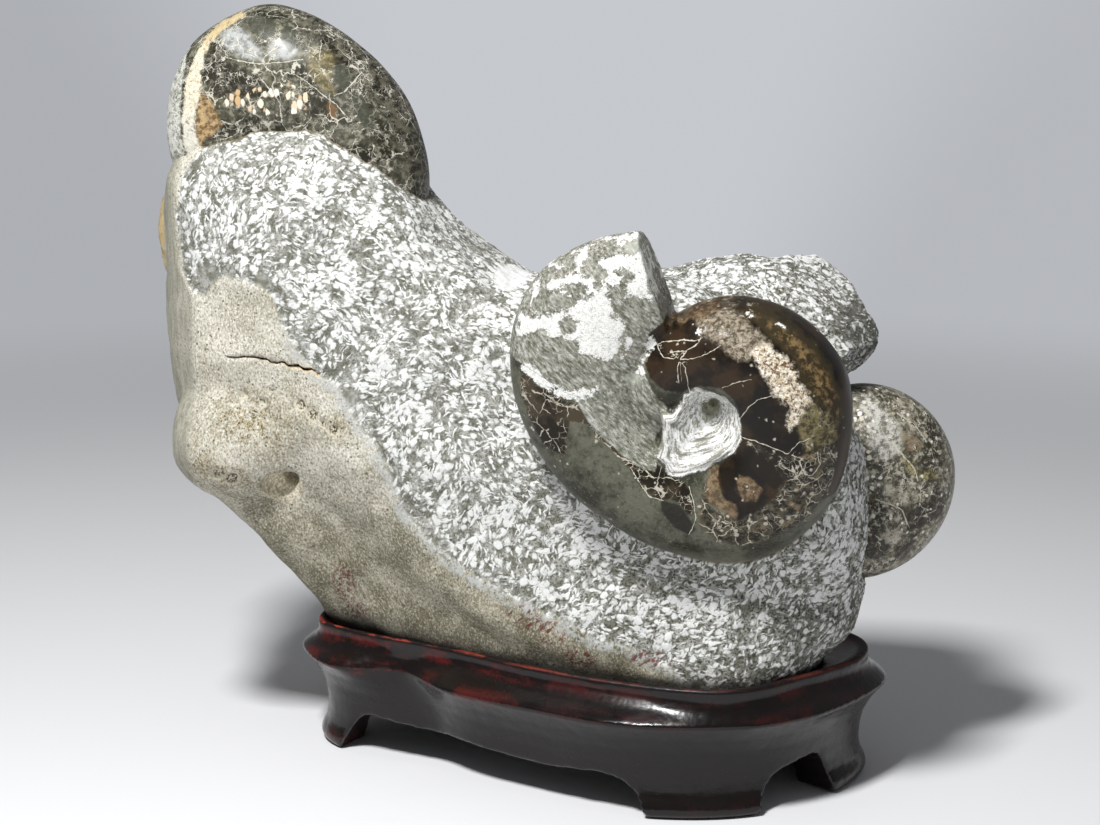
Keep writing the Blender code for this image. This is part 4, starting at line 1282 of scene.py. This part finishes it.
def threads_of(b, at, width):
    """The mask of a shell's own threads."""
    return use(b, "mineral thread", vector=at, side=b.zone("thread side"), away=b.zone("thread"),
               width=width)["Mask"]


def speckle(b, value, low, high, dark, light):
    """Mix two colours by a noise value, between the two levels given."""
    return b.blend(b.step(value, low, high), dark, light)


def fine_fuzz(b, at):
    """The finest unevenness, to both sides of zero."""
    return b.noise(at, 0.6, 3.0, 0.75) - 0.5


def finish_look(b, shader, relief, strength, reach=0.5, **values):
    """Fill the shader, with a bump from the relief, whose reach is in millimetres."""
    bump = b.node("ShaderNodeBump", {"Height": relief, "Strength": strength, "Distance": reach * MM})
    fill_shader(b, shader, normal=bump[0], **values)


def pecked_colour(b, at, edge, grain, fuzz):
    """White pecks on grey stone."""
    grime, bare = b.zone("grime"), b.zone("bare")
    white, dark, _ = chisel_marks(b, at)
    shy = b.step(edge, 6.0, 1.5) * b.step(b.noise(at, 5.0, 3.0), 0.42, 0.58, 0.0, 0.55)
    # Fewer pecks where there is grime and painted shade, and near the chiselled edge.
    white = white + fuzz * 1.1 - (grime * 0.34 + shy)
    white = b.step(white + b.zone("powder") * 1.2 - bare * 1.5, 0.03, 0.87)
    grey = speckle(b, b.noise(at, 4.5, 2.0, 0.6), 0.38, 0.60, (0.21, 0.21, 0.17), (0.44, 0.44, 0.40))
    coat = Coat(b, speckle(b, grain["Speckle"], 0.36, 0.48, (0.10, 0.10, 0.072), grey))
    # The gaps between the pecks are dark stone and painted crevice shade, painted darker towards the right
    # as shade where the stone turns away from the light.
    dark = dark * b.step(b.part_of(at, 0), -40 * MM, 75 * MM, 0.62, 1.0)
    coat.lay(dark * (1.0 - bare), (0.052, 0.052, 0.034))
    # Grime and painted shade, laid as a dark grey.
    coat.lay(b.math("MULTIPLY", grime, 0.5, clamp=True), (0.055, 0.055, 0.042))
    coat.lay(white, (0.86, 0.865, 0.845))
    coat.lay(b.step(b.zone("near shell"), 1.6, 0.4), (0.16, 0.12, 0.06), 0.8)
    return coat.colour


def rind_colour(b, at, edge, grain, flecks):
    """The natural rind, pale above, with painted shade that turns it darker and browner towards its foot."""
    across, height, cloud = b.part_of(at, 0), b.part_of(at, 2), grain["Cloud"]
    # Painted shade of the underside: the rind's colour darkens and browns towards its foot, where it faces
    # down, away from the light.
    low = b.step(height + (cloud - 0.5) * (30 * MM), 132 * MM, 78 * MM)
    coat = Coat(b, speckle(b, cloud, 0.36, 0.64, (0.45, 0.425, 0.34), (0.60, 0.57, 0.485)))
    coat.lay(low, speckle(b, cloud, 0.36, 0.64, (0.18, 0.165, 0.105), (0.36, 0.335, 0.25)))
    coat.lay(b.step(flecks, 0.475, 0.40), b.blend(low, (0.19, 0.165, 0.095), (0.095, 0.080, 0.045)), 0.75)
    coat.lay(b.step(flecks, 0.53, 0.61), (0.86, 0.84, 0.77), b.between(low, 0.70, 0.40))
    coat.lay(grain["Pits"], (0.10, 0.08, 0.045), 0.75)
    coat.lay(b.zone("porous") * b.step(b.noise(at, 3.0, 6.0, 0.8), 0.455, 0.545),
             speckle(b, flecks, 0.45, 0.53, (0.07, 0.05, 0.02), (0.42, 0.34, 0.18)), 0.90)
    chips = chip_level(b, at)
    coat.lay(b.step(chips, 0.05, 0.45), (0.66, 0.61, 0.48), 0.7)
    coat.lay(b.step(chips, 0.45, 0.95), (0.06, 0.045, 0.02), b.step(flecks, 0.53, 0.49))
    rubbed = b.step(edge, -5.5, -1.5) * b.step(b.noise(at, 2.0, 3.0, 0.7), 0.38, 0.58)
    coat.lay(rubbed, (0.52, 0.54, 0.54), b.step(height, 175 * MM, 160 * MM, 0.0, 0.75))
    streak = b.noise(b.stretched(at, (1.0, 1.0, 0.12)), 2.0, 4.0, 0.6)
    face = speckle(b, streak, 0.34, 0.66, (0.21, 0.205, 0.155), (0.36, 0.35, 0.28))
    coat.lay(b.zone("end face"), face, 0.75)
    coat.lay(b.zone("crust"), (0.50, 0.38, 0.20), b.step(b.noise(at, 5.0, 3.0), 0.3, 0.55))
    # The hollow's sandy floor, painted lighter than its own colour: painted light against the shade inside
    # the hollow.
    coat.lay(b.zone("hollow"), speckle(b, flecks, 0.44, 0.56, (0.48, 0.40, 0.26), (0.88, 0.82, 0.66)), 0.8)
    split, gap = crack_line(b, at)
    lip = b.step(gap, 0.0, 0.2) * b.step(across, -96 * MM, -80 * MM, 0.15, 0.9)
    coat.lay(b.step(split, 1.7, 0.7) * lip, (0.66, 0.50, 0.28), 0.7)
    coat.lay(b.step(split, gap + 0.06, gap * 0.5), (0.030, 0.018, 0.010))
    return coat.colour


def chiselled_stone():
    """Pecked stone and natural rind, with red stains, and painted shade where it goes down into the stand.
    """
    mat, b, shader = new_material("chiselled stone and rind")
    at = b.place()
    grain, fuzz = use(b, "stone grain", vector=at, size=1.0), fine_fuzz(b, at)
    flecks = b.noise(b.stretched(at, (1.0, 1.0, 0.7)), 0.75, 3.0, 0.8)
    edge = chiselled_edge(b, at) + b.swing(at, 2.0, 2.0, 0.5, 2.5)
    worked = b.step(edge, -1.0, 1.0)
    coat = Coat(b, rind_colour(b, at, edge, grain, flecks))
    coat.lay(worked, pecked_colour(b, at, edge, grain, fuzz))
    stain = b.noise(b.stretched(b.turned(at, DEPTH_AXIS, -0.8), (1.0, 1.0, 0.35)), 1.3, 4.0, 0.75)
    coat.lay(b.step(b.zone("red"), 0.05, 0.5) * b.step(stain, 0.505, 0.560), (0.12, 0.022, 0.017), 0.85)
    # Painted shade: near black just above the stand's rim, reaching higher at the left, where the stone goes
    # down into its recess.
    painted_recess_shade = b.part_of(at, 2) + b.swing(at, 6.0, 3.0, 0.5, 5 * MM)
    painted_recess_shade = b.step(painted_recess_shade, b.step(b.part_of(at, 0), -70 * MM, 45 * MM, 64 * MM, 51 * MM), 47 * MM)
    coat.lay(painted_recess_shade, (0.012, 0.010, 0.008), 0.93)
    relief = b.between(worked, grain["Height"] + flecks * 0.8, fuzz * 1.4)
    finish_look(b, shader, relief, 0.9, base_color=coat.colour, roughness=0.88, specular_ior_level=0.3)
    return mat


def front_shell_look():
    """Brown chambers and bands, grey stone filling with torn white patches, and the powdery pit."""
    mat, b, shader = new_material("brown fossil shell")
    at = b.place()
    patch, fuzz = torn_patches(b, at), fine_fuzz(b, at)
    net = use(b, "shell crazing", vector=at, size=6.0, width=0.035, wander=2.4, broken=0.47)
    grain = use(b, "stone grain", vector=at, size=0.8)
    tone, fine = net["Tone"], grain["Speckle"]
    # The lower whorl, dark olive grey, and the brown one above it.
    coat = Coat(b, speckle(b, tone, 0.38, 0.62, (0.030, 0.030, 0.020), (0.118, 0.118, 0.086)))
    coat.lay(b.step(fine, 0.52, 0.60), (0.22, 0.22, 0.175), 0.42)
    coat.lay(b.step(b.noise(at, 2.0, 5.0, 0.8), 0.46, 0.38), (0.022, 0.021, 0.014), 0.5)
    brown, strip = patch("brown", 1.2, 0.5), patch("strip", 1.6, 0.4)
    coat.lay(brown, speckle(b, tone, 0.42, 0.60, (0.008, 0.006, 0.004), (0.034, 0.020, 0.010)))
    coat.lay(strip, speckle(b, tone, 0.45, 0.62, (0.014, 0.011, 0.007), (0.060, 0.046, 0.028)))
    busy = patch("busy", 2.0, 1.0)
    dense = b.noise(at, 3.0, 5.0, 0.75)
    dense = Coat(b, speckle(b, dense, 0.42, 0.60, (0.014, 0.012, 0.008), (0.088, 0.076, 0.050)))
    dense.lay(b.step(b.noise(at, 4.5, 4.0, 0.7), 0.56, 0.64), (0.27, 0.20, 0.11), 0.65)
    dense.lay(b.step(fine, 0.52, 0.62), (0.34, 0.31, 0.24), 0.3)
    coat.lay(busy, dense.colour)
    gilt = b.step(b.noise(at, 3.0, 5.0, 0.72), 0.44, 0.62) * b.step(b.zone("outer band"), 0.4, 2.6)
    coat.lay(patch("outer band", 1.4, 0.6), b.blend(gilt, (0.036, 0.027, 0.014), (0.21, 0.140, 0.062)))
    olive, mottled = patch("olive", 2.0, 1.2), patch("mottled", 1.8, 0.9)
    for mask, strength, size, rough, dark, light in (
            (olive, 0.85, 2.6, 0.7, (0.048, 0.040, 0.020), (0.23, 0.19, 0.088)),
            (mottled, None, 1.6, 0.75, (0.075, 0.055, 0.036), (0.33, 0.285, 0.21)),
            (patch("gold", 1.4, 0.6), 0.85, 2.2, 0.7, (0.075, 0.048, 0.025), (0.25, 0.175, 0.100))):
        coat.lay(mask, speckle(b, b.noise(at, size, 4.0, rough), 0.40, 0.62, dark, light), strength)
    smooth, tan = patch("smooth", 0.8, 0.4), patch("tan", 2.6, 1.0)
    coat.lay(smooth, (0.012, 0.009, 0.006), 0.85)
    crumbs = b.step(b.noise(at, 1.5, 4.0, 0.8), 0.40, 0.52)
    crumb = speckle(b, fine, 0.42, 0.58, (0.46, 0.36, 0.22), (0.86, 0.82, 0.72))
    coat.lay(tan, b.blend(crumbs, (0.16, 0.085, 0.04), crumb), b.between(crumbs, 0.65, 1.0))
    # Veins: thick in the crazed parts, rare on the smooth whorl; then single threads.
    room = b.most(strip * 0.85, b.most(busy * 0.85, b.most(mottled, olive) * 0.4))
    veins = b.most(net["Lines"] * room, threads_of(b, at, 0.18))
    flecks = use(b, "scattered flecks", vector=at, size=2.6, amount=b.between(busy, -0.085, 0.07))
    veins = b.most(veins, flecks["Mask"] * 0.75)
    coat.lay(veins, (0.66, 0.61, 0.50), 0.85)
    # The stone filling of the mouth, scratched and dusty, with white patches torn into it.
    filling = patch("stone", 0.9, 0.35)
    scratch = b.noise(b.stretched(b.turned(at, (0.0, 0.0, 1.0), 0.8), (0.35, 1.0, 1.0)), 1.1, 4.0, 0.75)
    dusty = b.noise(at, 7.0, 3.0, 0.6)
    dusty = Coat(b, speckle(b, dusty, 0.38, 0.62, (0.20, 0.20, 0.16), (0.31, 0.31, 0.265)))
    dusty.lay(b.step(scratch, 0.48, 0.40), (0.085, 0.085, 0.060), 0.85)
    dusty.lay(b.step(scratch, 0.53, 0.61), (0.60, 0.60, 0.55), 0.70)
    dusty.lay(patch("pale", 1.5, 0.8), (0.50, 0.52, 0.45), 0.5)
    coat.lay(filling, dusty.colour)
    level = b.step(b.part_of(at, 1), 25 * MM, 52 * MM, 0.68, 0.54)
    islands = (b.noise(at, 11.0, 6.0, 0.72) - level) * 24.0
    rim = b.most(b.zone("white") + b.swing(at, 5.0, 6.0, 0.76, 12.0), b.math("MINIMUM", islands, 1.5))
    rim = rim + fuzz * 1.2
    fringe = b.step(rim, -0.9, -0.2) * b.step(b.noise(at, 7.0, 2.0), 0.46, 0.60)
    coat.lay(fringe, (0.20, 0.145, 0.075), 0.55)
    white = b.step(rim, -0.3, 0.5)
    coat.lay(white, speckle(b, fine + fuzz * 0.5, 0.38, 0.54, (0.50, 0.50, 0.45), (0.84, 0.84, 0.81)))
    pit = patch("pit", 1.8, 0.4)
    rings = b.noise(b.stretched(b.place("pit rings"), (2.6, 0.45, 1.0)), 1.6, 3.0, 0.65)
    powder = Coat(b, speckle(b, rings + fuzz * 0.5, 0.38, 0.58, (0.26, 0.255, 0.205),
                             (0.85, 0.85, 0.83)))
    powder.lay(b.step(b.part_of(b.place("pit rings"), 0), 0.0062, 0.0035),
               speckle(b, fine, 0.42, 0.60, (0.14, 0.145, 0.095), (0.30, 0.30, 0.22)))
    coat.lay(pit, powder.colour)
    dull = b.most(b.most(filling, white), b.most(pit, b.most(tan * 0.8, mottled * 0.6)))
    relief = b.most(white, veins * 0.3) * 0.7 + grain["Height"] * b.between(dull, 0.12, 0.6)
    relief = relief + scratch * filling * 0.9
    relief = relief + rings * pit * 0.8
    finish_look(b, shader, relief, 0.8, base_color=coat.colour,
                roughness=b.between(dull, b.step(tone, 0.35, 0.65, 0.30, 0.48), 0.88),
                coat_weight=(1.0 - dull) * b.between(b.most(smooth, brown), 0.10, 0.18),
                specular_ior_level=0.12, coat_roughness=0.15)
    return mat


def top_shell_look():
    """Grey-olive polished shell with a net of veins, a sandy rim and a row of pale flecks."""
    mat, b, shader = new_material("grey fossil shell")
    at = b.place()
    patch = torn_patches(b, at)
    net = use(b, "shell crazing", vector=at, size=10.0, width=0.030, wander=4.0, broken=0.47)
    fine = use(b, "shell crazing", vector=at, size=2.8, width=0.060, wander=1.6, broken=0.48)
    grain = use(b, "stone grain", vector=at, size=0.8)
    mottle = b.noise(at, 2.4, 5.0, 0.72)
    coat = Coat(b, speckle(b, net["Tone"], 0.38, 0.62, (0.020, 0.019, 0.012), (0.115, 0.110, 0.074)))
    coat.lay(b.step(net["Plate"], 0.5, 0.9, 0.0, 0.45), (0.15, 0.145, 0.11))
    coat.lay(b.step(mottle, 0.52, 0.60), (0.27, 0.26, 0.20), 0.6)
    coat.lay(b.step(mottle, 0.48, 0.40), (0.018, 0.017, 0.011), 0.7)
    # Pale milky patches, partly a painted sheen where the light is reflected on the polished shell.
    coat.lay(patch("milky", 2.0, 1.4), (0.40, 0.41, 0.40), b.step(mottle, 0.38, 0.56, 0.45, 1.0))
    dark = speckle(b, mottle, 0.50, 0.66, (0.026, 0.024, 0.017), (0.16, 0.15, 0.115))
    coat.lay(patch("dark", 2.0, 0.9), dark, 0.85)
    coat.lay(patch("yellow", 2.2, 1.4), (0.27, 0.22, 0.10), b.step(mottle, 0.40, 0.60, 0.25, 0.75))
    coat.lay(patch("brown", 1.6, 0.9), (0.17, 0.095, 0.042), 0.75)
    smooth, venter = patch("smooth", 1.2, 0.5), patch("venter", 2.0, 1.5)
    coat.lay(smooth, (0.048, 0.052, 0.036), 0.8)
    streak = b.noise(b.stretched(at, (1.0, 1.0, 0.25)), 2.4, 4.0, 0.65)
    coat.lay(venter, speckle(b, streak, 0.42, 0.62, (0.009, 0.009, 0.006), (0.125, 0.115, 0.082)), 0.8)
    knots = b.most(b.step(b.noise(at, 9.0, 3.0, 0.6), 0.52, 0.60), venter * 0.35)
    veins = b.most(net["Lines"], fine["Lines"] * knots * 0.9) * (1.0 - smooth * 0.8)
    veins = b.most(veins, threads_of(b, at, 0.26))
    coat.lay(veins, (0.62, 0.59, 0.50), 0.80)
    flecks = use(b, "scattered flecks", vector=b.stretched(at, (1.0, 0.62, 1.0)), size=2.2,
                 amount=b.between(patch("flecks", 2.0, 0.9), -0.17, 0.30))
    coat.lay(flecks["Mask"], b.blend(flecks["Tone"], (0.56, 0.38, 0.20), (0.86, 0.80, 0.68)))
    tan = speckle(b, mottle, 0.40, 0.60, (0.15, 0.085, 0.035), (0.50, 0.35, 0.17))
    coat.lay(patch("tan", 1.8, 0.8), tan, 0.85)
    rim, flank, height = patch("rim", 2.6, 0.6), patch("flank", 1.0, 0.6), b.part_of(at, 1)
    sand = Coat(b, speckle(b, grain["Speckle"], 0.36, 0.58, (0.42, 0.335, 0.19), (0.82, 0.76, 0.61)))
    sand.lay(b.step(height, 22 * MM, 4 * MM), (0.60, 0.60, 0.56), 0.6)
    sand.lay(b.step(height, 33 * MM, 43 * MM), (0.46, 0.34, 0.16), 0.75)
    coat.lay(rim, sand.colour, b.step(mottle, 0.34, 0.46, 0.35, 1.0))
    rock = mottle * 0.7 + (grain["Cloud"] + fine_fuzz(b, at)) * 0.3
    coat.lay(flank, speckle(b, rock, 0.40, 0.56, (0.19, 0.19, 0.15), (0.62, 0.62, 0.57)))
    dull, sheen = b.most(rim, flank), b.step(net["Tone"], 0.35, 0.65, 0.34, 0.50)
    relief = b.most(veins, flecks["Mask"]) * 0.4 + grain["Height"] * b.between(dull, 0.20, 0.9)
    finish_look(b, shader, relief, 0.7, base_color=coat.colour,
                roughness=b.between(b.most(dull, veins * 0.5), sheen, 0.88),
                coat_weight=(1.0 - dull) * 0.12, specular_ior_level=0.15, coat_roughness=0.22)
    return mat


def right_shell_look():
    """Olive-brown shell, crazed and flecked, paler where the stone takes it up."""
    mat, b, shader = new_material("olive fossil shell")
    at = b.place()
    patch = torn_patches(b, at)
    net = use(b, "shell crazing", vector=at, size=6.0, width=0.040, wander=4.5, broken=0.53)
    grain = use(b, "stone grain", vector=at, size=0.8)
    mottle = b.noise(at, 2.2, 6.0, 0.80)
    coat = Coat(b, speckle(b, net["Tone"], 0.40, 0.60, (0.045, 0.041, 0.027), (0.22, 0.20, 0.145)))
    coat.lay(b.step(mottle, 0.51, 0.59), (0.52, 0.49, 0.39), 0.75)
    coat.lay(b.step(mottle, 0.48, 0.41), (0.024, 0.021, 0.014), 0.8)
    light, dark = patch("light", 3.0, 2.0), patch("dark", 2.6, 1.2)
    coat.lay(light, (0.58, 0.57, 0.52), b.step(mottle, 0.44, 0.54, 0.20, 0.9))
    coat.lay(patch("yellow", 2.2, 1.2), (0.33, 0.28, 0.12), b.step(mottle, 0.44, 0.54, 0.1, 0.8))
    coat.lay(patch("brown", 2.0, 1.2), (0.21, 0.14, 0.075), b.step(mottle, 0.44, 0.56, 0.2, 0.7))
    coat.lay(dark, speckle(b, mottle, 0.54, 0.68, (0.026, 0.022, 0.016), (0.17, 0.15, 0.11)), 0.85)
    coat.lay(patch("patch", 2.2, 1.0), (0.50, 0.46, 0.38), b.step(mottle, 0.42, 0.54, 0.2, 0.9))
    coat.lay(b.step(b.zone("face height"), 8.0, -4.0), (0.070, 0.066, 0.046), 0.5)
    veins = b.most(net["Lines"], threads_of(b, at, 0.30))
    coat.lay(veins, (0.66, 0.62, 0.52), 0.8)
    pale = b.zone("pale side")
    flecks = use(b, "scattered flecks", vector=at, size=2.3,
                 amount=pale * 0.42 + b.between(dark, 0.02, -0.04))
    coat.lay(flecks["Mask"], b.blend(flecks["Tone"], (0.66, 0.62, 0.52), (0.86, 0.85, 0.81)))
    dull = b.most(flecks["Mask"], b.most(pale * 0.8, light * 0.7))
    relief = b.most(veins, flecks["Mask"]) * 0.5 + grain["Height"] * 0.35
    finish_look(b, shader, relief, 0.8, base_color=coat.colour, roughness=b.between(dull, 0.36, 0.85),
                coat_weight=(1.0 - dull) * 0.22, specular_ior_level=0.18, coat_roughness=0.18)
    return mat


def lacquer():
    """Near-black lacquer, rubbed to blood red along the ridge, the rim and the ledge."""
    mat, b, shader = new_material("lacquered wood")
    at, height, beyond = b.place(), b.zone("height"), b.zone("beyond rim")
    along = b.stretched(at, (0.30, 0.30, 1.8))
    streaks, cloud = b.noise(along, 5.0, 4.0, 0.6), b.noise(at, 18.0, 4.0, 0.65)
    left = b.step(b.part_of(at, 0), 0.085, -0.050, 0.30, 1.0)
    ragged = cloud * 0.45 + (streaks * 0.40 + b.noise(at, 1.6, 4.0, 0.7) * 0.25)
    band = b.most(b.step(height, 32.0, 36.0) * b.step(height, 41.0, 37.5),
                  b.step(height, 41.0, 44.0) * b.step(height, 48.6, 46.0))
    worn = b.most(band, b.step(height, 9.0, 2.0) * 0.55)
    worn = b.step(ragged, 0.505, 0.65) * left * worn
    ledge = b.step(height, 44.0, 46.5) * b.step(beyond, -1.0, -3.5)
    worn = b.most(worn, ledge * b.step(ragged, 0.50, 0.64, 0.0, 0.75))
    coat = Coat(b, b.blend(streaks * 0.7, (0.0030, 0.0020, 0.0020), (0.010, 0.0055, 0.0050)))
    coat.lay(worn, (0.068, 0.006, 0.0045))
    crest = b.step(b.math("ABSOLUTE", height - 48.7), 0.7, 0.1)
    lip = crest * b.step(b.math("ABSOLUTE", beyond + 1.2), 1.3, 0.4)
    lip = lip * b.step(b.noise(along, 6.0, 4.0, 0.7), 0.47, 0.58)
    coat.lay(lip * left, (0.33, 0.045, 0.02), 0.85)
    flat = b.step(height, 47.0, 49.0) * b.step(beyond, 0.5, -1.0)
    ripple = b.noise(at, 7.0) + (streaks * 0.3 + b.noise(at, 0.7) * 0.05)
    finish_look(b, shader, ripple, 0.4, reach=1.0, base_color=coat.colour,
                roughness=b.between(flat, b.step(cloud, 0.3, 0.7, 0.20, 0.32), 0.55),
                coat_weight=b.between(flat, 0.18, 0.0), specular_ior_level=0.3, coat_roughness=0.10)
    return mat


# ---- Build everything ----
shells = []
for name, shell, voxel, rounds, patches, threads in (
        ("front_shell", FRONT_SHELL, 0.75, 5, FRONT_PATCHES, FRONT_THREADS),
        ("top_shell", TOP_SHELL, 0.8, 4, TOP_PATCHES, TOP_THREADS),
        ("right_shell", RIGHT_SHELL, 0.8, 4, RIGHT_PATCHES, RIGHT_THREADS)):
    shells.append(make_shell(name, shell, voxel, rounds))
    if shell is FRONT_SHELL:
        carve_pit(shells[-1])
    paint_patches(shells[-1], patches, threads)
trees = [BVHTree.FromPolygons([v.co for v in shell.data.vertices], [p.vertices for p in shell.data.polygons])
         for shell in shells]
stone_look = chiselled_stone()
front_shell, top_shell, right_shell = shells

for piece, node, slot, look in (
        (make_stone(stone_look, trees), "rock", "concretion", stone_look),
        (make_stand(), "stand", "lacquered_wood", lacquer()),
        (front_shell, "front_ammonite", "brown_shell", front_shell_look()),
        (top_shell, "top_ammonite", "grey_shell", top_shell_look()),
        (right_shell, "right_ammonite", "olive_shell", right_shell_look())):
    finish_piece(piece, node, look)
